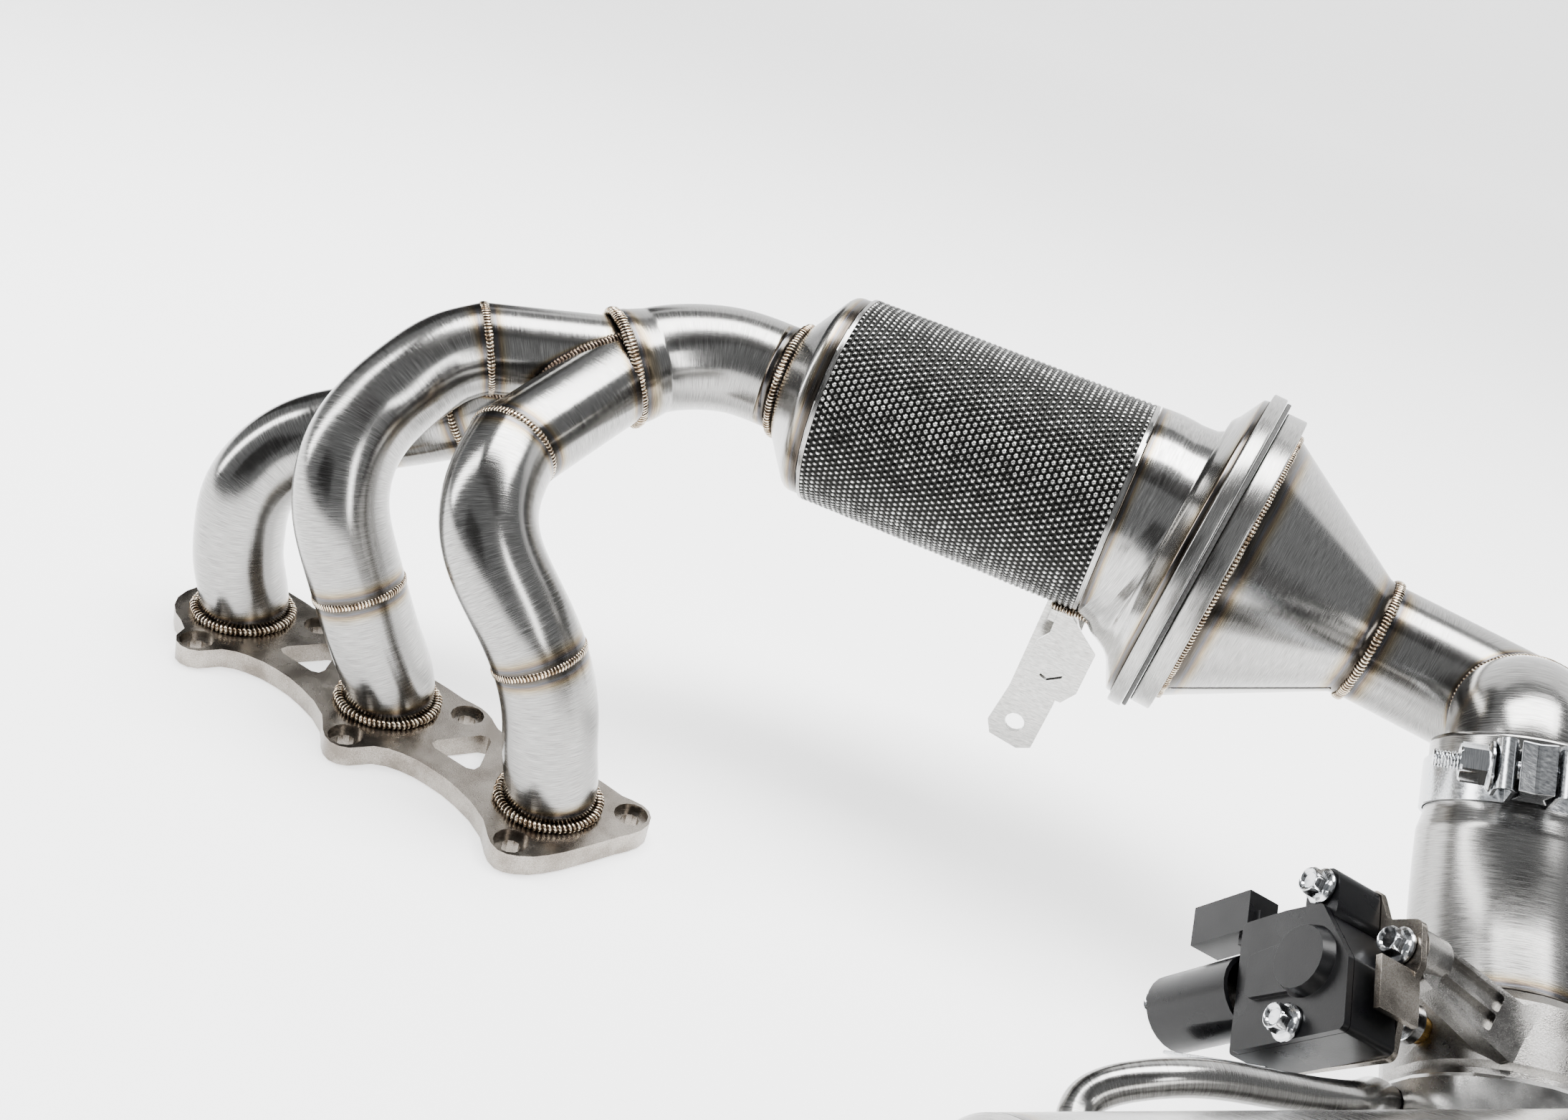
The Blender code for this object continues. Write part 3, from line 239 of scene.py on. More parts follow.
def tube(name, path, radii, wall, seams=(), columns=96, start_cut=None, end_cut=None, reach=11.0, swell=0.0):
    """A round wall swept along a path: out along the outer radius and back along the inner one.

    A cut is a plane's point and normal: the tube's end slides along its length onto that plane.
    Heat falls off as a bell curve from each seam, and a swell raises the outer wall there a little.
    """
    path = np.asarray(path, float)
    count = len(path)
    radii = np.full(count, radii) if np.isscalar(radii) else np.asarray(radii, float)
    tangent, side, up = carried_frames(path)
    length = np.concatenate([[0], np.cumsum(np.linalg.norm(np.diff(path, axis=0), axis=1))])
    angle = np.linspace(0, 2 * np.pi, columns, endpoint=False)
    ring = np.cos(angle)[None, :, None] * side[:, None, :] + np.sin(angle)[None, :, None] * up[:, None, :]
    heat = np.zeros(count)
    for seam in seams:
        heat = np.maximum(heat, np.exp(-(((length - seam) / reach) ** 2)))
    raised = radii + swell * heat**6
    outer = path[:, None, :] + raised[:, None, None] * ring
    inner = path[:, None, :] + (radii - wall)[:, None, None] * ring
    for cut, sign, near in ((start_cut, 1, length), (end_cut, -1, length[-1] - length)):
        if cut is None:
            continue
        point, normal = cut
        way = tangent[0 if sign > 0 else -1]
        end = 0 if sign > 0 else -1
        for wall_points in (outer, inner):
            slide = ((point - wall_points[end]) @ normal) / (way @ normal)
            weight = np.clip(1 - near / max(14.0, 1.3 * np.abs(slide).max()), 0, 1)
            wall_points += weight[:, None, None] * slide[None, :, None] * way
    points = np.concatenate([outer, inner[::-1]])
    along = np.concatenate([length, length[::-1] + length[-1] + 10])
    uv = np.stack(np.broadcast_arrays(angle[None, :] * radii.mean(), along[:, None]), -1)
    hot = np.broadcast_to(np.concatenate([heat, heat[::-1]])[:, None], points.shape[:2])
    return grid_object(name, points, True, True, uv, hot)


def lathe(name, profile, origin, axis, columns=144, seams=(), reach=10.0, sharp=35):
    """A profile of (radius, height) turned about an axis. It closes on itself, or ends on the axis."""
    profile = np.array(profile, float)
    closed = profile[0, 0] > 0
    profile[:, 0] = np.maximum(profile[:, 0], 0.001)
    turn = turn_of(axis)
    angle = np.linspace(0, 2 * np.pi, columns, endpoint=False)
    radial = np.cos(angle)[:, None] * turn[:, 0] + np.sin(angle)[:, None] * turn[:, 1]
    points = origin + profile[:, 0, None, None] * radial[None] + profile[:, 1, None, None] * turn[:, 2]
    length = np.concatenate([[0], np.cumsum(np.linalg.norm(np.diff(profile, axis=0), axis=1))])
    uv = np.stack(np.broadcast_arrays(angle[None, :] * profile[:, 0].max(), length[:, None]), -1)
    heat = np.zeros(len(profile))
    for seam in seams:
        heat = np.maximum(heat, np.exp(-(((profile[:, 1] - seam) / reach) ** 2)))
    hot = np.broadcast_to(heat[:, None], points.shape[:2])
    obj = grid_object(name, points, closed, True, uv, hot)
    if not closed:
        cap_holes(obj)
    return sharpen(obj, sharp)


def cap_holes(obj):
    """Closes the pin-sized rings that a profile leaves where it meets its axis."""
    bm = bmesh.new()
    bm.from_mesh(obj.data)
    bmesh.ops.remove_doubles(bm, verts=bm.verts, dist=0.000003)
    bm.to_mesh(obj.data)
    bm.free()


def fine_profile(profile, step=2.5):
    """The profile with points added along its long runs, so that heat tint and wear can vary there."""
    found = []
    closed = [*profile, profile[0]] if profile[0][0] > 0 else list(profile)
    for (r0, z0), (r1, z1) in zip(closed, closed[1:]):
        count = max(1, int(math.hypot(r1 - r0, z1 - z0) / step))
        found += [(r0 + (r1 - r0) * k / count, z0 + (z1 - z0) * k / count) for k in range(count)]
    if profile[0][0] <= 0:
        found.append(profile[-1])
    return found


def weld_bead(name, route, width, height, closed=True, pitch=1.7, columns=10):
    """A stack-of-coins bead along a route of points: a low lens whose ripples lean along its length."""
    route = np.asarray(route, float)
    steps = np.linalg.norm(np.diff(np.vstack([route, route[:1]]) if closed else route, axis=0), axis=1)
    length = np.concatenate([[0], np.cumsum(steps)])
    total = length[-1]
    count = min(int(total / pitch * 6), 2400)
    s = np.linspace(0, total, count, endpoint=not closed)
    source = np.vstack([route, route[:1]]) if closed else route
    path = np.stack([np.interp(s, length, source[:, k]) for k in range(3)], 1)
    if closed:
        ahead = np.roll(path, -3, axis=0) - np.roll(path, 3, axis=0)
    else:
        ahead = np.gradient(path, axis=0)
    tangent = ahead / np.linalg.norm(ahead, axis=1)[:, None]
    middle = path.mean(axis=0)
    out = path - middle
    out -= (out * tangent).sum(1)[:, None] * tangent
    out /= np.linalg.norm(out, axis=1)[:, None]
    across = np.cross(tangent, out)
    angle = np.linspace(0, 2 * np.pi, columns, endpoint=False)
    phase = s[:, None] / pitch + 0.35 * np.sin(angle)[None, :] ** 2
    saw = phase - np.floor(phase)
    wander = 1 + 0.08 * np.sin(s * 0.37)[:, None] + 0.05 * np.sin(s * 1.13 + 1.0)[:, None]
    crest = np.sin(np.pi * saw) ** 0.6
    size = (0.58 + 0.46 * crest) * wander
    points = (
        path[:, None, :]
        + (np.cos(angle)[None, :] * size * height)[..., None] * out[:, None, :]
        + (np.sin(angle)[None, :] * size * width)[..., None] * across[:, None, :]
    )
    uv = np.stack(np.broadcast_arrays(s[:, None], angle[None, :] * width), -1)
    obj = grid_object(name, points, closed, True, uv, crest * np.ones((count, columns)))
    if not closed:
        close_ends(obj, count, columns)
    return obj


def close_ends(obj, rows, columns):
    """Adds one face to each open end of a swept bar."""
    bm = bmesh.new()
    bm.from_mesh(obj.data)
    bm.verts.ensure_lookup_table()
    bm.faces.new(list(reversed(bm.verts[:columns])))
    bm.faces.new(bm.verts[(rows - 1) * columns : rows * columns])
    bmesh.ops.recalc_face_normals(bm, faces=bm.faces)
    bm.to_mesh(obj.data)
    bm.free()


def ring_route(centre, axis, radius, count=160, lean=None):
    """A circle about an axis. With a lean, the circle's plane tips so that its normal is the lean."""
    turn = turn_of(axis)
    angle = np.linspace(0, 2 * np.pi, count, endpoint=False)
    spokes = radius * (np.cos(angle)[:, None] * turn[:, 0] + np.sin(angle)[:, None] * turn[:, 1])
    if lean is not None:
        lean = unit(lean)
        spokes = spokes - ((spokes @ lean) / (turn[:, 2] @ lean))[:, None] * turn[:, 2]
    return np.asarray(centre) + spokes


def bar(name, route, radius, columns=16):
    """A round bar swept along an open route."""
    path = np.asarray(route, float)
    _, side, up = carried_frames(path)
    angle = np.linspace(0, 2 * np.pi, columns, endpoint=False)
    ring = np.cos(angle)[None, :, None] * side[:, None, :] + np.sin(angle)[None, :, None] * up[:, None, :]
    points = path[:, None, :] + radius * ring
    length = np.concatenate([[0], np.cumsum(np.linalg.norm(np.diff(path, axis=0), axis=1))])
    uv = np.stack(np.broadcast_arrays(angle[None, :] * radius, length[:, None]), -1)
    obj = grid_object(name, points, False, True, uv)
    close_ends(obj, len(path), columns)
    return obj


def refined(node, name, bevel=0.35, segments=2, angle=32):
    """A welded copy of a CAD solid, with smooth shading over its curves and a small radius on its edges."""
    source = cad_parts[node]
    mesh = source.data.copy()
    mesh.materials.clear()
    bm = bmesh.new()
    bm.from_mesh(mesh)
    bmesh.ops.remove_doubles(bm, verts=bm.verts, dist=0.000002)
    bmesh.ops.dissolve_limit(bm, angle_limit=math.radians(1.0), verts=bm.verts, edges=bm.edges)
    bm.to_mesh(mesh)
    bm.free()
    for attribute in list(mesh.attributes):
        if attribute.name == "custom_normal":
            mesh.attributes.remove(attribute)
    mesh.shade_smooth()
    mesh.set_sharp_from_angle(angle=math.radians(angle))
    mesh.name = name
    obj = bpy.data.objects.new(name, mesh)
    bpy.context.scene.collection.objects.link(obj)
    if bevel:
        edge = obj.modifiers.new("Edge radius", "BEVEL")
        edge.width = bevel / 1000
        edge.segments = segments
        edge.limit_method = "ANGLE"
        edge.angle_limit = math.radians(angle)
        edge.harden_normals = False
        edge.use_clamp_overlap = True
    weighted = obj.modifiers.new("Face weights", "WEIGHTED_NORMAL")
    weighted.keep_sharp = True
    return obj


def hex_bolt(name, seat, axis, across, flange, height, length, shank, bore=0.0):
    """A hexagon flange bolt or nut, as one profile whose radius follows a hexagon on the head's rows.

    Each row holds a height, a circle's radius and how far the row is a hexagon. The corners are cut
    back by the chamfer circle, and the top is dished.
    """
    half = across / 2
    corner = half / math.cos(math.pi / 6)
    rows = [
        (-length, 0.001, 0), (-length, shank * 0.85, 0), (-length + 1, shank, 0), (0, shank, 0),
        (0, flange - 0.3, 0), (0.3, flange, 0), (1.1, flange, 0), (1.9, flange * 0.90, 0),
        (2.4, corner * 1.02, 1), (2.6, corner, 1), (height - 1.0, corner, 1), (height - 0.2, half * 1.02, 0.85),
        (height, half * 0.93, 0), (height - 0.25, half * 0.80, 0), (height - 1.3, half * 0.62, 0),
        (height - 1.5, 0.001, 0),
    ]
    if bore:
        rows = [(0, bore, 0), *rows[4:13], (height - 0.4, bore + 0.8, 0), (height - 1.2, bore, 0)]
    rows = np.array(rows)
    columns = 72
    angle = np.linspace(0, 2 * np.pi, columns, endpoint=False)
    inside = half / np.cos((angle + np.pi / 6) % (np.pi / 3) - np.pi / 6)
    circle = rows[:, 1, None] * np.ones(columns)
    hexed = np.minimum(inside[None, :], np.maximum(rows[:, 1, None], 0.001))
    radius = circle * (1 - rows[:, 2, None]) + hexed * rows[:, 2, None]
    turn = turn_of(axis, (0.3, 0.2, 0.9))
    radial = np.cos(angle)[:, None] * turn[:, 0] + np.sin(angle)[:, None] * turn[:, 1]
    points = seat + radius[..., None] * radial[None] + rows[:, 0, None, None] * turn[:, 2]
    uv = np.stack(np.broadcast_arrays(angle[None, :] * flange, rows[:, 0, None]), -1)
    obj = grid_object(name, points, bool(bore), True, uv)
    if not bore:
        cap_holes(obj)
    return sharpen(obj, 30)


# Materials -----------------------------------------------------------------------------------


def linear(code):
    values = [int(code[i : i + 2], 16) / 255 for i in (0, 2, 4)]
    return (*[v / 12.92 if v <= 0.04045 else ((v + 0.055) / 1.055) ** 2.4 for v in values], 1.0)


def hex_of(colour):
    def coded(v):
        v = 12.92 * v if v <= 0.0031308 else 1.055 * v ** (1 / 2.4) - 0.055
        return f"{max(0, min(255, round(v * 255))):02X}"

    return "".join(coded(c) for c in colour[:3])


def node(tree, kind, links=None, **settings):
    """Adds a node, sets its properties and its sockets, and links what is given by socket name."""
    made = tree.nodes.new(kind)
    for key, value in settings.items():
        if key.startswith("in_"):
            index = key[3:]
            made.inputs[int(index) if index.isdigit() else index.replace("_", " ")].default_value = value
        else:
            setattr(made, key, value)
    for socket, output in (links or {}).items():
        tree.links.new(output, made.inputs[socket])
    return made


def new_material(name):
    material = bpy.data.materials.new(name)
    material.use_nodes = True
    tree = material.node_tree
    return material, tree, tree.nodes["Principled BSDF"]


def ramp(tree, source, stops, mode="LINEAR"):
    made = node(tree, "ShaderNodeValToRGB", {"Fac": source})
    made.color_ramp.interpolation = mode
    elements = made.color_ramp.elements
    for k, (at, colour) in enumerate(stops):
        element = elements[k] if k < 2 else elements.new(at)
        element.position = at
        element.color = linear(colour) if isinstance(colour, str) else (colour, colour, colour, 1)
    return made.outputs["Color"]


def object_scale(tree, scale):
    coordinates = node(tree, "ShaderNodeTexCoord")
    mapping = node(tree, "ShaderNodeMapping", {"Vector": coordinates.outputs["Object"]}, in_Scale=scale)
    return mapping.outputs["Vector"]


def surface_scale(tree, scale):
    coordinates = node(tree, "ShaderNodeUVMap", uv_map="surface")
    mapping = node(tree, "ShaderNodeMapping", {"Vector": coordinates.outputs["UV"]}, in_Scale=scale)
    return mapping.outputs["Vector"]


def heat_of(tree):
    coordinates = node(tree, "ShaderNodeUVMap", uv_map="heat")
    return node(tree, "ShaderNodeSeparateXYZ", {"Vector": coordinates.outputs["UV"]}).outputs["X"]


def brushed_metal(name, base, dark, rough, grain, bump=0.10, mapped=True, tint=1.0):
    """Metal with a directional grain, cloudy wear in its roughness, and temper colours near welds.

    The grain is noise drawn out twenty times along the brushing. On a mapped piece it follows the
    surface's own millimetre map, and elsewhere it runs along X of the object.
    """
    material, tree, shader = new_material(name)
    if mapped:
        lines = surface_scale(tree, (grain * 0.035, grain, 1.0))
    else:
        lines = object_scale(tree, (grain * 45, grain * 900, grain * 900))
    scratch = node(tree, "ShaderNodeTexNoise", {"Vector": lines}, in_Scale=1.0, in_Detail=6.0, in_Roughness=0.62)
    cloud_at = object_scale(tree, (26, 26, 26))
    cloud = node(tree, "ShaderNodeTexNoise", {"Vector": cloud_at}, in_Scale=1.0, in_Detail=4.0)
    smudge_at = object_scale(tree, (7, 7, 7))
    smudge = node(tree, "ShaderNodeTexNoise", {"Vector": smudge_at}, in_Scale=1.0, in_Detail=3.0)
    tone = ramp(tree, scratch.outputs["Fac"], [(0.30, dark), (0.68, base)])
    if tint:
        heat = heat_of(tree)
        ragged = node(
            tree, "ShaderNodeMath", {0: cloud.outputs["Fac"]}, operation="MULTIPLY_ADD", in_1=0.5, in_2=-0.25
        )
        patchy = node(
            tree, "ShaderNodeMath", {0: heat, 1: ragged.outputs[0]}, operation="ADD", use_clamp=True
        )
        gate = node(tree, "ShaderNodeMath", {0: heat, 1: patchy.outputs[0]}, operation="MULTIPLY")
        temper = ramp(
            tree, gate.outputs[0],
            [(0.04, "FFFFFF"), (0.20, "F7F0E2"), (0.38, "E2CFAE"), (0.54, "B7A697"), (0.68, "9799A2"),
             (0.84, "8E8983"), (1.0, "6E655C")],
        )
        mixed = node(
            tree, "ShaderNodeMix", {6: tone, 7: temper}, data_type="RGBA", blend_type="MULTIPLY", in_0=tint
        )
        tone = mixed.outputs[2]
    tree.links.new(tone, shader.inputs["Base Color"])
    both = node(
        tree, "ShaderNodeMath", {0: scratch.outputs["Fac"], 1: smudge.outputs["Fac"]}, operation="MULTIPLY_ADD",
        in_2=0.0,
    )
    wear = node(
        tree, "ShaderNodeMapRange", {"Value": both.outputs[0]}, in_1=0.12, in_2=0.42, in_3=rough - 0.07,
        in_4=rough + 0.10,
    )
    tree.links.new(wear.outputs[0], shader.inputs["Roughness"])
    raised = node(tree, "ShaderNodeBump", {"Height": scratch.outputs["Fac"]}, in_Strength=bump, in_Distance=0.0006)
    tree.links.new(raised.outputs[0], shader.inputs["Normal"])
    shader.inputs["Metallic"].default_value = 1.0
    return material


def rough_metal(name, base, dark, rough, size, bump):
    """Cast or sheared metal: round-grained noise of the given size in mm in its tone and its height."""
    material, tree, shader = new_material(name)
    at = object_scale(tree, (1000 / size,) * 3)
    grit = node(tree, "ShaderNodeTexNoise", {"Vector": at}, in_Scale=1.0, in_Detail=5.0, in_Roughness=0.6)
    wide_at = object_scale(tree, (60, 60, 60))
    stain = node(tree, "ShaderNodeTexNoise", {"Vector": wide_at}, in_Scale=1.0, in_Detail=4.0)
    blend = node(
        tree, "ShaderNodeMath", {0: grit.outputs["Fac"], 1: stain.outputs["Fac"]}, operation="MULTIPLY"
    )
    tone = ramp(tree, blend.outputs[0], [(0.14, dark), (0.40, base)])
    tree.links.new(tone, shader.inputs["Base Color"])
    wear = node(
        tree, "ShaderNodeMapRange", {"Value": stain.outputs["Fac"]}, in_1=0.3, in_2=0.7, in_3=rough - 0.08,
        in_4=rough + 0.1,
    )
    tree.links.new(wear.outputs[0], shader.inputs["Roughness"])
    raised = node(tree, "ShaderNodeBump", {"Height": grit.outputs["Fac"]}, in_Strength=bump, in_Distance=0.0008)
    tree.links.new(raised.outputs[0], shader.inputs["Normal"])
    shader.inputs["Metallic"].default_value = 1.0
    return material


def weld_metal(name, valley, flank, crest, rough):
    """Solidified weld pool: temper brown in the valleys between ripples, clean metal on their crests. On the heat
    shield foil the same ramp paints shade in the valleys and a highlight on the bump crowns.
    """
    material, tree, shader = new_material(name)
    at = object_scale(tree, (160, 160, 160))
    patch = node(tree, "ShaderNodeTexNoise", {"Vector": at}, in_Scale=1.0, in_Detail=4.0)
    lifted = node(tree, "ShaderNodeMath", {0: patch.outputs["Fac"]}, operation="MULTIPLY_ADD", in_1=0.9, in_2=-0.45)
    level = node(
        tree, "ShaderNodeMath", {0: heat_of(tree), 1: lifted.outputs[0]}, operation="ADD", use_clamp=True
    )
    tone = ramp(tree, level.outputs[0], [(0.44, valley), (0.78, flank), (1.0, crest)])
    tree.links.new(tone, shader.inputs["Base Color"])
    wear = node(
        tree, "ShaderNodeMapRange", {"Value": level.outputs[0]}, in_1=0.0, in_2=1.0, in_3=rough + 0.2, in_4=rough
    )
    tree.links.new(wear.outputs[0], shader.inputs["Roughness"])
    fine = node(tree, "ShaderNodeTexNoise", {"Vector": object_scale(tree, (900, 900, 900))}, in_Scale=1.0)
    raised = node(tree, "ShaderNodeBump", {"Height": fine.outputs["Fac"]}, in_Strength=0.2, in_Distance=0.0004)
    tree.links.new(raised.outputs[0], shader.inputs["Normal"])
    shader.inputs["Metallic"].default_value = 1.0
    return material


def moulded_plastic(name, base, worn, rough):
    """Glass-filled nylon: fine spark-eroded texture, slightly greyer where it has been rubbed."""
    material, tree, shader = new_material(name)
    at = object_scale(tree, (1700, 1700, 1700))
    grain = node(tree, "ShaderNodeTexNoise", {"Vector": at}, in_Scale=1.0, in_Detail=3.0)
    wide_at = object_scale(tree, (45, 45, 45))
    wide = node(tree, "ShaderNodeTexNoise", {"Vector": wide_at}, in_Scale=1.0, in_Detail=4.0)
    tone = ramp(tree, wide.outputs["Fac"], [(0.35, base), (0.75, worn)])
    tree.links.new(tone, shader.inputs["Base Color"])
    wear = node(
        tree, "ShaderNodeMapRange", {"Value": wide.outputs["Fac"]}, in_1=0.3, in_2=0.7, in_3=rough - 0.06,
        in_4=rough + 0.08,
    )
    tree.links.new(wear.outputs[0], shader.inputs["Roughness"])
    raised = node(tree, "ShaderNodeBump", {"Height": grain.outputs["Fac"]}, in_Strength=0.12, in_Distance=0.0003)
    tree.links.new(raised.outputs[0], shader.inputs["Normal"])
    shader.inputs["Specular IOR Level"].default_value = 0.22
    return material


def plain_surface(name, base, dark, rough, size):
    """Fibre or graphite: matt, with mottling of the given size in mm."""
    material, tree, shader = new_material(name)
    at = object_scale(tree, (1000 / size,) * 3)
    fibre = node(tree, "ShaderNodeTexNoise", {"Vector": at}, in_Scale=1.0, in_Detail=5.0)
    tone = ramp(tree, fibre.outputs["Fac"], [(0.3, dark), (0.7, base)])
    tree.links.new(tone, shader.inputs["Base Color"])
    shader.inputs["Roughness"].default_value = rough
    return material


MATERIALS = {}


def make_materials(colours):
    steel = hex_of(colours.steel)
    # 304 stainless tube, belt brushed: soft streaks along the tube and straw to blue beside each weld.
    MATERIALS["tube"] = brushed_metal("brushed_304_stainless_tube", steel, "6B6A68", 0.20, 2.6, 0.05)
    # Spun and rolled stainless sheet: finer lines round the shape, brighter than the tube.
    MATERIALS["sheet"] = brushed_metal("spun_stainless_sheet", "BDBCBA", "807F7D", 0.20, 2.3, 0.05)
    # Bead-rolled flange edges keep their turning marks.
    MATERIALS["turned"] = brushed_metal("turned_stainless_flange", "BAB9B7", "787775", 0.27, 2.8, 0.08)
    # Laser-cut plate: mill scale with heat marks, duller than the tube.
    MATERIALS["plate"] = rough_metal("laser_cut_stainless_plate", "A9A39B", "6E675F", 0.24, 0.6, 0.10)
    # Embossed foil: each bump's crown is painted near white as a highlight, and the valleys between the bumps are
    # painted dark as shade.
    MATERIALS["foil"] = weld_metal("embossed_stainless_foil", "1E1E1D", "8C8C8A", "F6F6F4", 0.13)
    # Hanger ears are sheared from polished strip.
    MATERIALS["strip"] = brushed_metal("polished_hanger_strip", "C4C3C0", "8F8E8B", 0.17, 1.4, 0.04, False, 0.0)
    # TIG weld metal: dark straw to grey in the valleys and bright on each ripple.
    MATERIALS["weld"] = weld_metal("tig_weld_metal", "241A12", "7E6850", "E8DDCA", 0.16)
    # The bead in the collector's crotch got hottest and kept a nearly black scale.
    MATERIALS["scaled_weld"] = weld_metal("scaled_weld_metal", "1B1613", "4A3B31", "A08F7E", 0.25)
    # Bright zinc on fasteners and the band.
    MATERIALS["zinc"] = brushed_metal("bright_zinc_plate", "D2D4D6", "9A9C9F", 0.17, 1.2, 0.03, False, 0.0)
    MATERIALS["zinc_mapped"] = brushed_metal("bright_zinc_turned", "DCDEE0", "A2A4A7", 0.14, 2.4, 0.03, True, 0.0)
    # Machined and vibratory-finished cast steel.
    MATERIALS["casting"] = rough_metal("investment_cast_steel", "A3A19E", "72706D", 0.26, 0.6, 0.14)
    MATERIALS["plastic"] = moulded_plastic("glass_filled_nylon", hex_of(colours.plastic), "0A0A0B", 0.30)
    MATERIALS["bronze"] = rough_metal("sintered_bronze", "B5924F", "6E552B", 0.35, 0.8, 0.2)
    MATERIALS["mat"] = plain_surface("ceramic_fibre_mat", "D8D2C4", "A79F8E", 0.95, 1.5)
    MATERIALS["honeycomb"] = rough_metal("metal_honeycomb_block", "7E7B76", "3A3834", 0.5, 1.2, 0.6)
    MATERIALS["gasket"] = plain_surface("graphite_gasket", "4C4B4A", "272625", 0.7, 1.0)
    MATERIALS["down"] = rough_metal("satin_stainless_tube", "BDBCBA", "9D9C9A", 0.25, 0.5, 0.03)
    MATERIALS["muffler"] = brushed_metal("brushed_muffler_sheet", "B4B3B1", "787775", 0.27, 1.9, 0.06)


# Pieces --------------------------------------------------------------------------------------


class ExhaustColours(bpy.types.PropertyGroup):
    steel: bpy.props.FloatVectorProperty(
        name="Steel", description="Tone of the brushed tube", subtype="COLOR", size=4, min=0, max=1,
        default=linear("A9A8A6"),
    )
    plastic: bpy.props.FloatVectorProperty(
        name="Plastic", description="Tone of the actuator's moulding", subtype="COLOR", size=4, min=0, max=1,
        default=linear("08080A"),
    )


class ExhaustSizes(bpy.types.PropertyGroup):
    dimple_pitch: bpy.props.FloatProperty(
        name="Dimple pitch", description="Spacing of the heat shield's bumps, in millimetres", default=3.7, min=2.0
    )
    dimple_height: bpy.props.FloatProperty(
        name="Dimple height", description="Height of the heat shield's bumps, in millimetres", default=1.1, min=0.1
    )
    ripple_pitch: bpy.props.FloatProperty(
        name="Weld ripple pitch", description="Spacing of the weld's ripples, in millimetres", default=2.0, min=0.5
    )


class EXHAUST_OT_materials(bpy.types.Operator):
    """Makes the metals and the plastic, and gives them to the CAD solids that stay"""

    bl_idname = "exhaust.materials"
    bl_label = "Metals and plastic"

    def execute(self, context):
        make_materials(context.scene.exhaust_colours)
        kept = {
            "cat_shell": "sheet", "cat_mat": "mat", "cat_substrate": "honeycomb", "valve_shaft": "casting",
            "valve_flap": "casting", "shaft_bush_near": "bronze", "shaft_bush_far": "bronze",
            "worm_wheel": "bronze", "output_gear": "bronze", "motor_rotor": "casting", "core_tube": "plate",
        }
        for name, finish in kept.items():
            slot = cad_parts[name].material_slots[0]
            slot.link = "OBJECT"
            slot.material = MATERIALS[finish]
        return {"FINISHED"}


class EXHAUST_OT_header(bpy.types.Operator):
    """Head flange, three primary tubes and the rippled welds between them"""

    bl_idname = "exhaust.header"
    bl_label = "Header"

    def execute(self, context):
        pitch = context.scene.exhaust_sizes.ripple_pitch
        plate = refined("head_flange", "head_flange_plate", 0.7, 3)
        finish_piece(plate, MATERIALS["plate"], "frame", "head_flange")
        for k, (route, joint, seams) in enumerate(zip(ROUTES, JOINTS, TUBE_SEAMS)):
            path = spline_path([*route, joint], 150)
            arriving = unit(path[-1] - path[-2])
            way = unit(APEX - joint)
            mitre = unit(arriving + way)
            length = np.linalg.norm(np.diff(path, axis=0), axis=1).sum()
            places = [13.0, length, *(length * s for s in seams)]
            made = tube(
                f"primary_tube_{k + 1}", path, 25.0, 1.5, places, 112,
                end_cut=(joint - mitre * 0.25, mitre), reach=9.0,
            )
            finish_piece(made, MATERIALS["tube"], "frame", f"primary_{k + 1}")
            tangent, _, _ = carried_frames(path)
            for n, share in enumerate(seams):
                at = int(share * 149)
                ring = ring_route(path[at], tangent[at], 25.1, 180)
                seam = weld_bead(f"primary_seam_{k + 1}_{n}", ring, 2.0, 0.6, pitch=pitch * 0.9)
                finish_piece(seam, MATERIALS["weld"], "frame")
            joint_ring = ring_route(joint, unit(arriving + way), 25.0, 180)
            bead = weld_bead(f"collector_seam_{k + 1}", joint_ring, 2.2, 0.95, pitch=pitch)
            finish_piece(bead, MATERIALS["weld"], "frame")
            foot = ring_route((PORTS[k], 0, 14.2), (0, 0, 1), 27.0, 200)
            port = weld_bead(f"port_bead_{k + 1}", foot, 2.6, 2.9, pitch=pitch * 1.25, columns=14)
            finish_piece(port, MATERIALS["weld"], "frame", f"port_weld_{k + 1}")
        return {"FINISHED"}


def runner_grid(k, ways, columns=140, rows=60):
    """A straight tube whose far end is trimmed by the planes that it shares with its neighbours.

    Each line along the tube ends at the nearest of those planes: the distance to a plane is the
    height of the line's start over it, divided by how squarely the line meets it.
    """
    joint, way = JOINTS[k], ways[k]
    path = spline_path([*ROUTES[k], joint], 150)
    mitre = unit(unit(path[-1] - path[-2]) + way)
    turn = turn_of(way)
    angle = np.linspace(0, 2 * np.pi, columns, endpoint=False)
    spokes = np.cos(angle)[:, None] * turn[:, 0] + np.sin(angle)[:, None] * turn[:, 1]
    grids = []
    limits = []
    for radius in (25.0, 23.5):
        start = joint + radius * spokes
        start = start - (((start - joint - mitre * 0.25) @ mitre) / (way @ mitre))[:, None] * way
        ends = []
        for other in range(3):
            if other != k:
                side = unit(way - ways[other])
                ends.append(((APEX - side * 0.2 - start) @ side) / (way @ side))
        ends.append(((OUTLET - MERGE * 0.2 - start) @ MERGE) / (way @ MERGE))
        ends = np.array(ends)
        ends[ends < 1.0] = 1.0
        reach = ends.min(axis=0)
        limits.append(ends.argmin(axis=0))
        share = np.linspace(0, 1, rows)
        grids.append(start[None] + (share[:, None] * reach[None, :])[..., None] * way)
    return grids, limits[0]


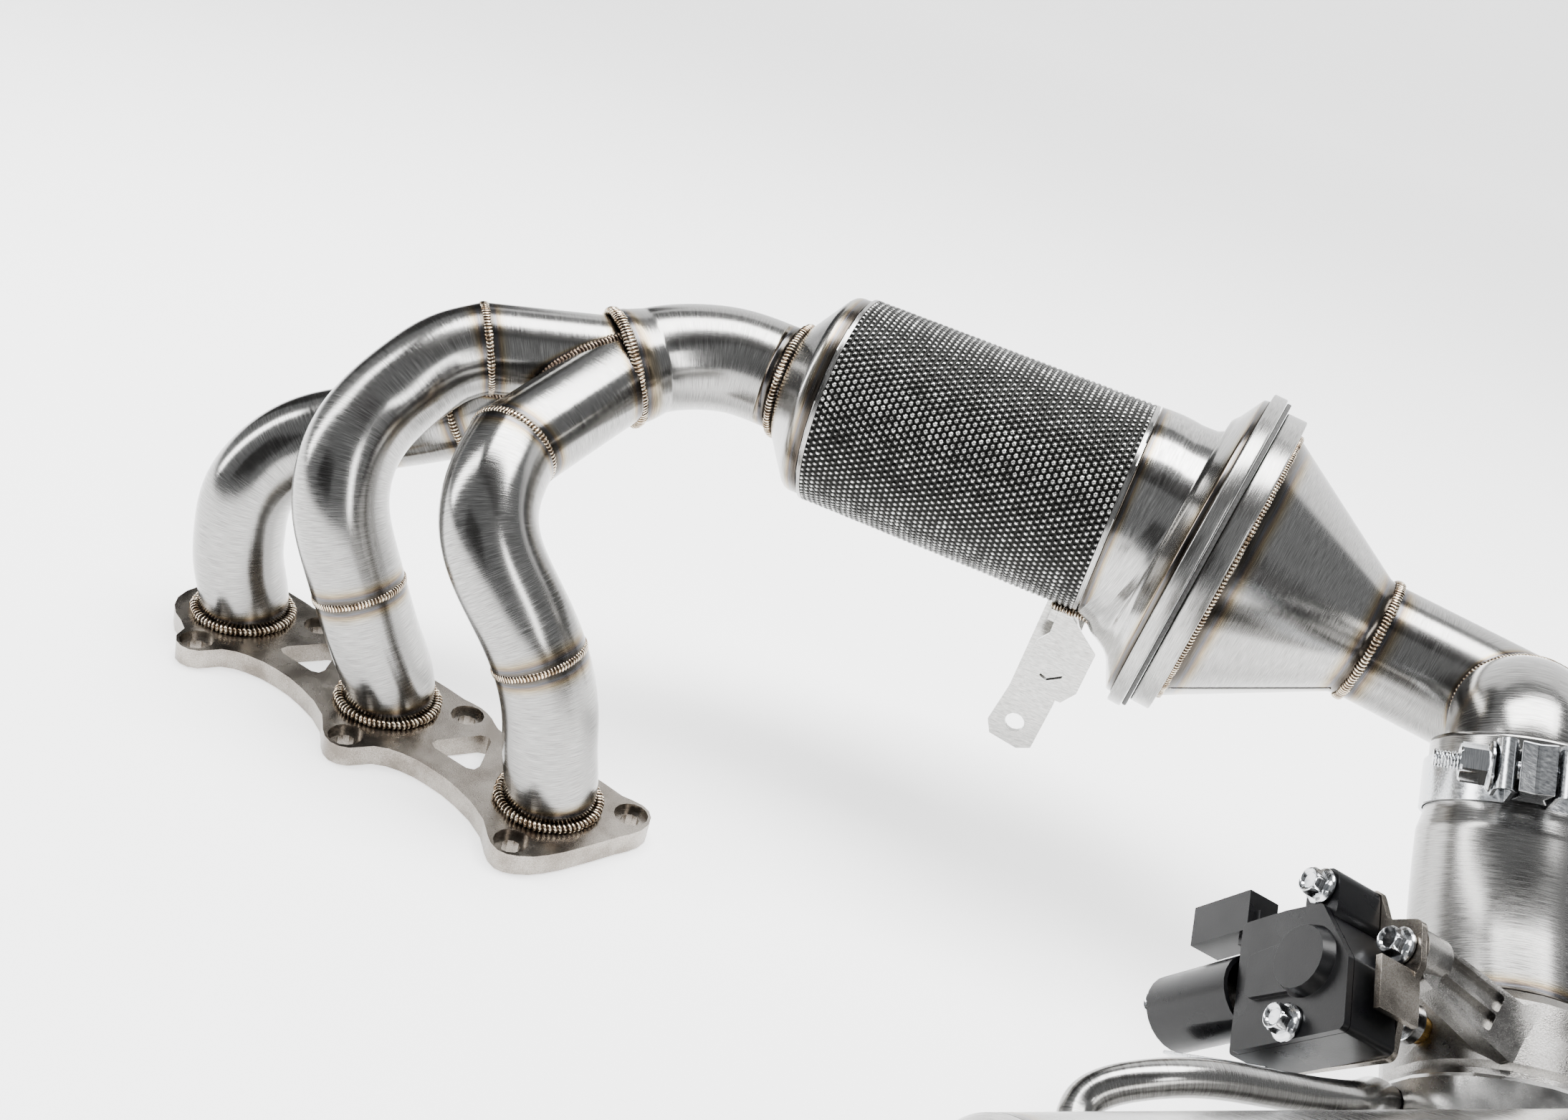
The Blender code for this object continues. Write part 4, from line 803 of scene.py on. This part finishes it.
class EXHAUST_OT_collector(bpy.types.Operator):
    """Three runners trimmed into each other, their merge welds and the outlet bend"""

    bl_idname = "exhaust.collector"
    bl_label = "Collector"

    def execute(self, context):
        pitch = context.scene.exhaust_sizes.ripple_pitch
        ways = [unit(APEX - joint) for joint in JOINTS]
        for k in range(3):
            (outer, inner), limit = runner_grid(k, ways)
            points = np.concatenate([outer, inner[::-1]])
            rows, columns = points.shape[:2]
            length = np.linalg.norm(outer - outer[:1], axis=2)
            total = length[-1]
            from_start = np.exp(-((length / 9.0) ** 2))
            from_end = np.exp(-(((total - length) / 8.0) ** 2))
            heat = np.maximum(from_start, from_end)
            heat = np.concatenate([heat, heat[::-1]])
            angle = np.linspace(0, 2 * np.pi, columns, endpoint=False)
            along = np.concatenate([length, length[::-1]])
            uv = np.stack(np.broadcast_arrays(angle[None, :] * 25.0, along), -1)
            made = grid_object(f"collector_runner_{k + 1}", points, True, True, uv, heat)
            finish_piece(made, MATERIALS["tube"], "frame", f"runner_{k + 1}")
            for side in (0, 1):
                on = limit == side
                if on.sum() < 6 or k > [o for o in range(3) if o != k][side]:
                    continue
                gaps = np.flatnonzero(~on)
                order = (np.arange(columns) + (gaps[-1] + 1 if len(gaps) else 0)) % columns
                order = order[on[order]]
                bead = weld_bead(
                    f"merge_bead_{k + 1}{side}", outer[-1][order], 2.8, 1.9, closed=False, pitch=pitch
                )
                finish_piece(bead, MATERIALS["scaled_weld"], "frame")
        knee = [OUTLET + MERGE * 7, (47.4, 128.9, 216.9), (63.1, 145.9, 221.9), (81.7, 159.0, 223.9)]
        fine = spline_path([*knee, CAT_START - CAT_AXIS * 8], 70)
        path = np.vstack([OUTLET + MERGE * 0.6, OUTLET + MERGE * 3, fine, CAT_START - CAT_AXIS * 4])
        path = np.vstack([path, CAT_START - CAT_AXIS * 0.4])
        radii = np.full(len(path), 30.0)
        radii[:12] = np.interp(np.arange(12), [0, 3, 11], [33.0, 32.0, 30.0])
        length = np.linalg.norm(np.diff(path, axis=0), axis=1).sum()
        bend = tube("outlet_bend_tube", path, radii, 1.6, (0.0, length), 128, reach=9.0)
        finish_piece(bend, MATERIALS["tube"], "frame", "outlet_bend")
        seam = weld_bead("outlet_seam", ring_route(OUTLET + MERGE * 0.2, MERGE, 32.4, 200), 3.4, 2.2, pitch=pitch)
        finish_piece(seam, MATERIALS["weld"], "frame")
        return {"FINISHED"}


def dimpled_shield(pitch, height, begin, end, radius, columns, rows, name, low=0.0, high=2 * np.pi):
    """Foil embossed with round bumps on a triangular grid, as a closed thin wall over part of a turn.

    A bump is a raised cosine of the distance to its centre, and it dies away at the rolled ends.
    """
    s = np.linspace(begin, end, rows)
    angle = np.linspace(low, high, columns)
    around = angle[None, :] * radius
    count = round(2 * np.pi * radius / pitch)
    step = 2 * np.pi * radius / count
    row_gap = step * math.sqrt(3) / 2
    height_at = np.zeros((rows, columns))
    nearest = np.round((s - begin) / row_gap)
    for shift in (-1, 0, 1):
        row = nearest + shift
        dy = (s - begin) - row * row_gap
        offset = (row % 2) * step / 2
        dx = (around - offset[:, None] + step / 2) % step - step / 2
        distance = np.hypot(dx, dy[:, None]) / (step * 0.5)
        bump = np.where(distance < 1, np.cos(distance * np.pi / 2) ** 1.3, 0)
        height_at = np.maximum(height_at, bump)
    edge = np.clip(np.minimum(s - begin, end - s) / 2.2, 0, 1)[:, None]
    lift = height * height_at * np.where(edge >= 1, 1, 0) - height
    turn = turn_of(CAT_AXIS)
    radial = np.cos(angle)[:, None] * turn[:, 0] + np.sin(angle)[:, None] * turn[:, 1]
    spine = (CAT_START + s[:, None] * CAT_AXIS)[:, None, :]
    outer = spine + (radius + lift)[..., None] * radial[None]
    inner = spine[:: rows - 1] + (radius - 1.9) * radial[None]
    # The bump height also sets the foil's colour: painted shade in the valleys between bumps and a painted
    # highlight on each crown.
    painted_light_by_height = np.concatenate([height_at, np.zeros((2, columns))])
    points = np.concatenate([outer, inner[::-1]])
    across = np.concatenate([s, [end + 5, end + 170]])
    uv = np.stack(np.broadcast_arrays(angle[None, :] * radius, across[:, None]), -1)
    obj = grid_object(name, points, True, False, uv, painted_light_by_height)
    return obj


class EXHAUST_OT_converter(bpy.types.Operator):
    """Catalytic converter: inlet cone, embossed heat shield and the eccentric outlet shell"""

    bl_idname = "exhaust.converter"
    bl_label = "Catalytic converter"

    def execute(self, context):
        sizes = context.scene.exhaust_sizes
        cone = fine_profile([
            (57.8, 32.0), (58.0, 31.0), (58.0, 25.5), (57.4, 23.6), (56.0, 22.0), (35.5, 6.8), (33.6, 5.8),
            (31.0, 5.4), (31.0, 0.2), (29.4, 0.2), (29.4, 7.2), (33.9, 7.8), (54.8, 23.2), (56.3, 25.6),
            (56.3, 32.0),
        ], 1.6)
        shell = lathe("inlet_cone_sheet", cone, CAT_START, CAT_AXIS, 160, (3.0, 31.0), 6.0, 40)
        finish_piece(shell, MATERIALS["sheet"], "frame", "cat_inlet_cone")
        route = ring_route(CAT_START + CAT_AXIS * 2.6, CAT_AXIS, 32.0, 220)
        bead = weld_bead("inlet_bead", route, 2.4, 2.1, pitch=sizes.ripple_pitch, columns=12)
        finish_piece(bead, MATERIALS["weld"], "frame", "cat_inlet_weld")
        quarter = math.pi / 2
        for k in range(4):
            foil = dimpled_shield(
                sizes.dimple_pitch, sizes.dimple_height, 33.2, 199.2, 60.0, 175, 300,
                f"heat_shield_foil_{k + 1}", k * quarter, (k + 1) * quarter,
            )
            finish_piece(foil, MATERIALS["foil"], "frame", *(["heat_shield"] if k == 0 else []))
        for name, at in (("shield_band_front", 33.6), ("shield_band_rear", 197.4)):
            band = lathe(
                name, [(60.0, at + 2.0), (60.0, at), (59.75, at - 0.1), (59.0, at - 0.1), (59.0, at + 2.0)],
                CAT_START, CAT_AXIS, 160,
            )
            finish_piece(band, MATERIALS["sheet"], "frame")
        start = CAT_START + CAT_AXIS * 200.3
        knots = np.array([
            start, start + CAT_AXIS * 8, FLANGE_START - LINK_AXIS * 16, FLANGE_START - LINK_AXIS * 8,
            FLANGE_START - LINK_AXIS * 4, FLANGE_START - LINK_AXIS * 0.3,
        ])
        share = np.concatenate([[0], np.cumsum(np.linalg.norm(np.diff(knots, axis=0), axis=1))])
        s = np.linspace(0, share[-1], 60)
        path = np.stack([np.interp(s, share, knots[:, k]) for k in range(3)], 1)
        # A short weighted average rounds the corners of the broken line, and its ends stay put.
        kernel = np.array([1, 2, 3, 4, 5, 4, 3, 2, 1], float)
        padded = np.vstack([path[:1]] * 4 + [path] + [path[-1:]] * 4)
        soft = np.stack([np.convolve(padded[:, k], kernel / kernel.sum(), "valid") for k in range(3)], 1)
        soft[:2], soft[-2:] = path[:2], path[-2:]
        spots = [0, 0.25, 0.45, 0.62, 0.76, 0.88, 0.93, 1]
        radii = np.interp(s / share[-1], spots, [60, 60.3, 62, 67, 74, 83.5, 87.4, 88])
        outlet = tube("outlet_shell_sheet", soft, radii, 1.8, (0.0, share[-1]), 180, reach=5.0)
        finish_piece(outlet, MATERIALS["sheet"], "frame", "cat_outlet_shell")
        bracket = refined("cat_bracket", "hanger_bracket", 0.5, 2)
        finish_piece(bracket, MATERIALS["strip"], "frame", "cat_bracket")
        sheet = turn_of((0.183, -0.983, 0.0), CAT_AXIS)
        foot = np.array([(186, -55.0, 26.2), (194, -55.6, 26.4), (202, -55.0, 26.3), (209, -55.2, 27.0)])
        route = CAT_START + foot @ sheet.T
        bead = weld_bead("bracket_bead", np.linspace(route[0], route[-1], 30), 2.6, 2.2, closed=False)
        finish_piece(bead, MATERIALS["weld"], "frame")
        return {"FINISHED"}


class EXHAUST_OT_flange_joint(bpy.types.Operator):
    """Main flange, gasket and rim, and the link cone that is welded to the rim"""

    bl_idname = "exhaust.flange_joint"
    bl_label = "Main flange and cone"

    def execute(self, context):
        rings = (
            ("main_flange_ring", 92.5, 80.0, 0.0, 7.5, "turned", "cat_flange"),
            ("main_gasket_ring", 91.0, 79.0, 7.8, 10.2, "gasket", "flange_gasket"),
            ("link_rim_ring", 86.5, 78.0, 10.5, 21.5, "turned", "link_rim"),
        )
        for name, outer, inner, low, high, finish, cad in rings:
            edge = 0.7
            profile = [
                (outer - edge, high), (outer - 0.2, high - 0.2), (outer, high - edge), (outer, low + edge),
                (outer - 0.2, low + 0.2), (outer - edge, low), (inner, low), (inner, high),
            ]
            made = lathe(name, fine_profile(profile, 3.0), FLANGE_START, LINK_AXIS, 220, (), 6, 50)
            finish_piece(made, MATERIALS[finish], "frame", cad)
        cone = fine_profile([
            (33.0, 100.0), (33.0, 98.4), (33.6, 96.2), (76.4, 24.4), (77.3, 22.6), (77.5, 21.0), (77.5, 11.0),
            (76.0, 11.0), (76.0, 22.4), (31.4, 96.3), (31.4, 100.0),
        ], 2.5)
        made = lathe("link_cone_sheet", cone, FLANGE_START, LINK_AXIS, 200, (99.0, 24.0), 9.0, 40)
        finish_piece(made, MATERIALS["sheet"], "frame", "link_cone")
        pitch = context.scene.exhaust_sizes.ripple_pitch
        foot = ring_route(FLANGE_START + LINK_AXIS * 22.3, LINK_AXIS, 77.6, 300)
        finish_piece(weld_bead("rim_bead", foot, 1.8, 1.3, pitch=pitch), MATERIALS["weld"], "frame")
        neck = ring_route(FLANGE_START + LINK_AXIS * 101.6, LINK_AXIS, 33.6, 200)
        finish_piece(weld_bead("neck_bead", neck, 2.4, 1.3, pitch=pitch), MATERIALS["weld"], "frame", "link_weld")
        toward = np.array([-0.05, -0.72, -0.69])
        out = unit(toward - toward.dot(LINK_AXIS) * LINK_AXIS)
        line = [FLANGE_START + LINK_AXIS * z + out * (r - 0.3) for r, z in ((76.2, 25.0), (34.0, 96.0))]
        seam = bar("cone_seam", np.linspace(line[0], line[1], 50), 0.7, 10)
        finish_piece(seam, MATERIALS["sheet"], "frame")
        return {"FINISHED"}


class EXHAUST_OT_link(bpy.types.Operator):
    """Link pipe, mitred elbow and the slotted down pipe to the valve"""

    bl_idname = "exhaust.link"
    bl_label = "Link pipe, elbow and down pipe"

    def execute(self, context):
        pitch = context.scene.exhaust_sizes.ripple_pitch
        mitre = unit(LINK_AXIS + HEEL_WAY)
        path = np.linspace(FLANGE_START + LINK_AXIS * 100.3, HEEL, 60)
        length = np.linalg.norm(HEEL - path[0])
        axis_end = FLANGE_START + LINK_AXIS * (100.3 + length)
        path = np.linspace(path[0], axis_end, 60)
        link = tube("link_tube", path, 32.5, 1.6, (0.0, length), 128, end_cut=(HEEL - mitre * 0.2, mitre))
        finish_piece(link, MATERIALS["tube"], "frame", "link_pipe")
        end = CORNER + DOWN_WAY * 46
        path = bent_path(HEEL, CORNER, end, 34.0, 44)
        total = np.concatenate([[0], np.cumsum(np.linalg.norm(np.diff(path, axis=0), axis=1))])
        radii = np.interp(total[-1] - total, [0, 10, 15], [35.7, 35.7, 32.5])
        elbow = tube("elbow_tube", path, radii, 1.6, (0.0,), 128, start_cut=(HEEL + mitre * 0.2, mitre))
        finish_piece(elbow, MATERIALS["tube"], "frame", "elbow")
        ring = ring_route(HEEL, LINK_AXIS, 32.6, 240, lean=mitre)
        finish_piece(weld_bead("elbow_bead", ring, 2.0, 0.9, pitch=pitch), MATERIALS["weld"], "frame")
        path = bent_path(CORNER + DOWN_WAY * 14, DOWN_CORNER, VALVE - VALVE_WAY * 19.3, 150.0, 50)
        total = np.concatenate([[0], np.cumsum(np.linalg.norm(np.diff(path, axis=0), axis=1))])
        spots = np.sort(np.concatenate([total, np.linspace(0, 50, 26)[1:]]))
        path = np.stack([np.interp(spots, total, path[:, k]) for k in range(3)], 1)
        radii = np.interp(spots, [0, 34, 42], [38.0, 38.0, 40.0])
        down = tube("down_pipe_tube", path, radii, 1.6, (total[-1],), 128, reach=8.0)
        finish_piece(down, MATERIALS["tube"], "frame", "down_pipe")
        return {"FINISHED"}


class EXHAUST_OT_band_clamp(bpy.types.Operator):
    """Band clamp: strap, reaction block, T-bolt and flange nut"""

    bl_idname = "exhaust.band_clamp"
    bl_label = "Band clamp"

    def execute(self, context):
        strap = refined("band_strap", "clamp_strap", 0.25, 2, 40)
        finish_piece(strap, MATERIALS["zinc"], "frame", "band_strap")
        block = refined("band_block", "clamp_block", 0.8, 3)
        finish_piece(block, MATERIALS["zinc"], "frame", "band_block")
        turn = turn_of(DOWN_WAY, (0.55, -0.75, 0.45))
        gap = math.radians(33.0)
        out = turn @ np.array([math.cos(gap), math.sin(gap), 0])
        across = turn @ np.array([-math.sin(gap), math.cos(gap), 0])
        eye = CORNER + DOWN_WAY * (14 + 20.5) + out * 56.0
        seat = 8.2 + 7.0 + 1.2
        nut = hex_bolt("clamp_nut", eye + across * seat, across, 15.5, 11.0, 13.2, 0, 4.4, 4.4)
        finish_piece(nut, MATERIALS["zinc_mapped"], "frame", "band_nut")
        bolt = threaded_bolt("clamp_bolt", eye - across * (seat + 4.0), across, 60.4, 4.0, 7.5, 4.0)
        finish_piece(bolt, MATERIALS["zinc_mapped"], "frame", "band_bolt")
        return {"FINISHED"}


def threaded_bolt(name, start, way, length, radius, head, head_height):
    """A bolt whose shank radius falls and rises once a turn of the angle and once a thread pitch along."""
    rows = 260
    z = np.linspace(0, length, rows)
    angle = np.linspace(0, 2 * np.pi, 40, endpoint=False)
    phase = z[:, None] / 1.25 - angle[None, :] / (2 * np.pi)
    tooth = np.abs((phase % 1.0) - 0.5) * 2
    threaded = np.clip((z - 30) / 1.0, 0, 1)[:, None]
    r = radius - 0.55 * tooth * threaded
    r = np.where(z[:, None] < head_height, head, r)
    r[0], r[-1] = 0.001, 0.001
    r[1] = head - 0.6
    r[-2] = radius - 0.8
    turn = turn_of(way)
    radial = np.cos(angle)[:, None] * turn[:, 0] + np.sin(angle)[:, None] * turn[:, 1]
    points = start + r[..., None] * radial[None] + z[:, None, None] * turn[:, 2]
    uv = np.stack(np.broadcast_arrays(angle[None, :] * radius, z[:, None]), -1)
    obj = grid_object(name, points, False, True, uv)
    cap_holes(obj)
    return sharpen(obj, 40)


class EXHAUST_OT_valve(bpy.types.Operator):
    """Cast valve housing with its ribbed arm, and the coupling on the valve's shaft"""

    bl_idname = "exhaust.valve"
    bl_label = "Exhaust valve"

    def execute(self, context):
        housing = refined("valve_housing", "valve_casting", 0.7, 3, 34)
        finish_piece(housing, MATERIALS["casting"], "frame", "valve_housing")
        turns = np.linspace(0, 6 * np.pi, 240)
        coil = np.stack([59.8 + 9.6 * turns / (6 * np.pi), 8.0 * np.cos(turns), 8.0 * np.sin(turns)], 1)
        spring = bar("coupling_spring", valve_point(coil), 1.1, 14)
        finish_piece(spring, MATERIALS["zinc_mapped"], "flap", "drive_spring")
        rings = (("coupling_hub", "drive_hub", 53.0, 58.0), ("coupling_dog", "drive_dog", 71.2, 76.5))
        for name, cad, low, high in rings:
            profile = [(8.6, high), (9.0, high - 0.4), (9.0, low + 0.4), (8.6, low), (4.4, low), (4.4, high)]
            made = lathe(name, profile, VALVE, VALVE_TURN[:, 0], 72)
            finish_piece(made, MATERIALS["zinc_mapped"], "flap", cad)
        return {"FINISHED"}


class EXHAUST_OT_actuator(bpy.types.Operator):
    """Electric actuator: moulded housing and cover, bracket, heat plate and flange bolts"""

    bl_idname = "exhaust.actuator"
    bl_label = "Actuator"

    def execute(self, context):
        housing = refined("actuator_housing", "actuator_moulding", 0.6, 3, 34)
        finish_piece(housing, MATERIALS["plastic"], "frame", "actuator_housing")
        cover = refined("gear_cover", "gear_cover_moulding", 0.7, 3, 34)
        finish_piece(cover, MATERIALS["plastic"], "frame", "gear_cover")
        bracket = refined("actuator_bracket", "actuator_bracket_plate", 0.4, 2)
        finish_piece(bracket, MATERIALS["plate"], "frame", "actuator_bracket")
        plate = refined("actuator_heat_plate", "actuator_heat_shield", 0.4, 2)
        finish_piece(plate, MATERIALS["zinc"], "frame", "actuator_heat_plate")
        seats = (
            ("top", 0.0, 38.0, 104.2, 21.0), ("front", -10.0, -21.0, 107.2, 24.0),
            ("boss", 21.0, 17.0, 81.2, 9.0), ("far", -105.0, 9.0, 93.8, 14.0),
        )
        for name, y, z, seat, length in seats:
            at = valve_point((seat, y, z))
            bolt = hex_bolt(f"flange_bolt_{name}", at, VALVE_TURN[:, 0], 10.4, 8.0, 8.0, length, 3.0)
            finish_piece(bolt, MATERIALS["zinc_mapped"], "frame", f"bolt_{name}")
        return {"FINISHED"}


class EXHAUST_OT_muffler(bpy.types.Operator):
    """Muffler drum with its rolled end caps, inlet neck, tail pipe and bypass tube"""

    bl_idname = "exhaust.muffler"
    bl_label = "Muffler"

    def execute(self, context):
        neck = refined("muffler_inlet", "inlet_neck", 0.0, 1, 28)
        finish_piece(neck, MATERIALS["down"], "frame", "muffler_inlet")
        turn = math.radians(44.0)
        way = np.array([math.cos(turn), math.sin(turn), 0.0])
        half = 165.0
        wall = fine_profile([(92.0, 157.0), (92.0, -157.0), (90.4, -157.0), (90.4, 157.0)], 8)
        shell = lathe("muffler_drum", wall, DRUM, way, 180, (-157.0, 157.0), 7)
        finish_piece(shell, MATERIALS["muffler"], "frame", "muffler_shell")
        closed = fine_profile([
            (0.0, half + 6), (40.0, half + 6), (70.0, half + 4.6), (84.0, half + 1.4), (90.6, half - 3.4),
            (92.0, half - 6.0), (92.0, half - 7.7), (0.0, half - 7.7),
        ], 4)
        made = lathe("drum_cap_closed", closed, DRUM, way, 160, (), 8, 40)
        finish_piece(made, MATERIALS["muffler"], "frame", "muffler_cap_closed")
        holed = fine_profile([
            (38.4, half + 6), (70.0, half + 4.6), (84.0, half + 1.4), (90.6, half - 3.4), (92.0, half - 6.0),
            (92.0, half - 7.7), (38.4, half - 7.7),
        ], 4)
        made = lathe("drum_cap_outlet", holed, DRUM, -way, 160, (), 8, 40)
        finish_piece(made, MATERIALS["muffler"], "frame", "muffler_cap_outlet")
        tail = fine_profile([
            (37.6, half + 55), (38.0, half + 54.6), (38.0, half - 30), (36.4, half - 30), (36.4, half + 54.6),
            (36.8, half + 55),
        ], 5)
        made = lathe("tail_pipe_tube", tail, DRUM, -way, 128, (half + 6,), 9, 40)
        finish_piece(made, MATERIALS["tube"], "frame", "tail_pipe")
        pipe = tube("bypass_pipe", spline_path(BYPASS, 120), 7.0, 1.5, (), 40)
        finish_piece(pipe, MATERIALS["tube"], "frame", "bypass_tube")
        return {"FINISHED"}


def card(name, corners, material):
    mesh = bpy.data.meshes.new(name)
    mesh.from_pydata(corners, [], [tuple(range(len(corners)))])
    obj = bpy.data.objects.new(name, mesh)
    obj.data.materials.append(material)
    bpy.context.scene.collection.objects.link(obj)
    obj.visible_camera = False
    obj.visible_shadow = False
    obj.visible_diffuse = False
    return obj


def soft_light(name, place, aim, size, power, colour="FFFFFF"):
    data = bpy.data.lights.new(name, "AREA")
    data.shape = "RECTANGLE"
    data.size, data.size_y = size
    data.energy = power
    data.color = linear(colour)[:3]
    obj = bpy.data.objects.new(name, data)
    obj.location = place
    obj.rotation_euler = (Vector(aim) - Vector(place)).to_track_quat("-Z", "Y").to_euler()
    bpy.context.scene.collection.objects.link(obj)
    return obj


class EXHAUST_OT_stage(bpy.types.Operator):
    """Pale sweep, soft lights, and the camera"""

    bl_idname = "exhaust.stage"
    bl_label = "Stage"

    def execute(self, context):
        scene = context.scene
        floor_z = CAD_BOX[0][2] - 0.001
        material, tree, shader = new_material("pale_paper_sweep")
        fibre_at = object_scale(tree, (3, 3, 3))
        fibre = node(tree, "ShaderNodeTexNoise", {"Vector": fibre_at}, in_Scale=1.0)
        paper = ramp(tree, fibre.outputs["Fac"], [(0.0, "FAFAFA"), (1.0, "FFFFFF")])
        tree.links.new(paper, shader.inputs["Base Color"])
        shader.inputs["Roughness"].default_value = 0.9
        shader.inputs["Emission Color"].default_value = linear("FFFFFF")
        shader.inputs["Emission Strength"].default_value = 1.6
        depth = np.linspace(0, math.pi / 2, 24)
        near, far, rise = -5.0, 5.0, 3.0
        line = [(near, floor_z)] + [(far + rise * math.sin(a), floor_z + rise * (1 - math.cos(a))) for a in depth]
        line.append((far + rise, floor_z + 9.0))
        points = [(x, y, z) for y, z in line for x in (-9.0, 9.0)]
        faces = [(2 * k, 2 * k + 1, 2 * k + 3, 2 * k + 2) for k in range(len(line) - 1)]
        mesh = bpy.data.meshes.new("paper_sweep")
        mesh.from_pydata(points, [], faces)
        mesh.materials.append(material)
        mesh.polygons.foreach_set("use_smooth", np.ones(len(faces), bool))
        sweep = bpy.data.objects.new("paper_sweep", mesh)
        scene.collection.objects.link(sweep)

        world = bpy.data.worlds.new("studio_air")
        world.use_nodes = True
        background = world.node_tree.nodes["Background"]
        background.inputs["Color"].default_value = linear("F2F4F6")
        background.inputs["Strength"].default_value = 0.4
        scene.world = world
        soft_light("overhead_box", (0.1, 0.4, 2.1), (0.2, 0.0, 0.1), (2.2, 0.9), 130)
        soft_light("left_strip", (-1.6, -0.7, 1.1), (0.0, 0.1, 0.15), (0.4, 1.8), 34)
        soft_light("right_strip", (1.9, -0.9, 0.9), (0.4, 0.0, 0.15), (0.3, 1.6), 24)
        black, _, dark = new_material("black_flag")
        dark.inputs["Base Color"].default_value = linear("060606")
        dark.inputs["Roughness"].default_value = 0.9
        card("flag_left", [(-1.9, 0.4, 0.2), (-1.5, 1.9, 0.2), (-1.5, 1.9, 1.6), (-1.9, 0.4, 1.6)], black)
        card("flag_front", [(-0.9, -1.9, 0.5), (0.5, -2.1, 0.5), (0.5, -2.1, 1.5), (-0.9, -1.9, 1.5)], black)
        card("flag_right", [(2.0, -1.4, 0.1), (2.2, -0.2, 0.1), (2.2, -0.2, 1.2), (2.0, -1.4, 1.2)], black)
        card("flag_high", [(-1.2, -0.9, 2.0), (1.3, -0.9, 2.0), (1.3, -0.3, 2.2), (-1.2, -0.3, 2.2)], black)

        data = bpy.data.cameras.new("studio_camera")
        data.sensor_width = 36.0
        data.lens = data.sensor_width * CAMERA_FOCAL / CAMERA_WIDTH
        data.clip_start = 0.01
        data.clip_end = 50
        obj = bpy.data.objects.new("studio_camera", data)
        right = Vector((0.831, 0.501, 0.242)).normalized()
        forward = Vector((-0.367, 0.82, -0.438)).normalized()
        right = (right - right.dot(forward) * forward).normalized()
        upward = right.cross(forward)
        turn = Matrix((right, upward, -forward)).transposed().to_4x4()
        obj.matrix_world = Matrix.Translation((CAMERA - DATUM) / 1000) @ turn
        scene.collection.objects.link(obj)
        scene.camera = obj
        return {"FINISHED"}


STEPS = (
    ("materials", "Metals and plastic"), ("header", "Header"), ("collector", "Collector"),
    ("converter", "Catalytic converter"), ("flange_joint", "Main flange and cone"),
    ("link", "Link pipe, elbow and down pipe"), ("band_clamp", "Band clamp"), ("valve", "Exhaust valve"),
    ("actuator", "Actuator"), ("muffler", "Muffler"), ("stage", "Stage"),
)


class EXHAUST_PT_panel(bpy.types.Panel):
    """Lists the exhaust's pieces and its sizes"""

    bl_idname = "EXHAUST_PT_panel"
    bl_label = "Racing exhaust"
    bl_space_type = "VIEW_3D"
    bl_region_type = "UI"
    bl_category = "Exhaust"

    def draw(self, context):
        layout = self.layout
        for group in (context.scene.exhaust_colours, context.scene.exhaust_sizes):
            for name in group.__annotations__:
                layout.prop(group, name)
        for step, label in STEPS:
            layout.operator(f"exhaust.{step}", text=label)


CLASSES = (
    ExhaustColours, ExhaustSizes, EXHAUST_OT_materials, EXHAUST_OT_header, EXHAUST_OT_collector,
    EXHAUST_OT_converter, EXHAUST_OT_flange_joint, EXHAUST_OT_link, EXHAUST_OT_band_clamp,
    EXHAUST_OT_valve, EXHAUST_OT_actuator, EXHAUST_OT_muffler, EXHAUST_OT_stage, EXHAUST_PT_panel,
)


def register():
    for cls in CLASSES:
        bpy.utils.register_class(cls)
    bpy.types.Scene.exhaust_colours = bpy.props.PointerProperty(type=ExhaustColours)
    bpy.types.Scene.exhaust_sizes = bpy.props.PointerProperty(type=ExhaustSizes)


def unregister():
    del bpy.types.Scene.exhaust_sizes
    del bpy.types.Scene.exhaust_colours
    for cls in reversed(CLASSES):
        bpy.utils.unregister_class(cls)


def main():
    register()
    for step, _ in STEPS:
        getattr(bpy.ops.exhaust, step)()


if __name__ == "__main__":
    main()
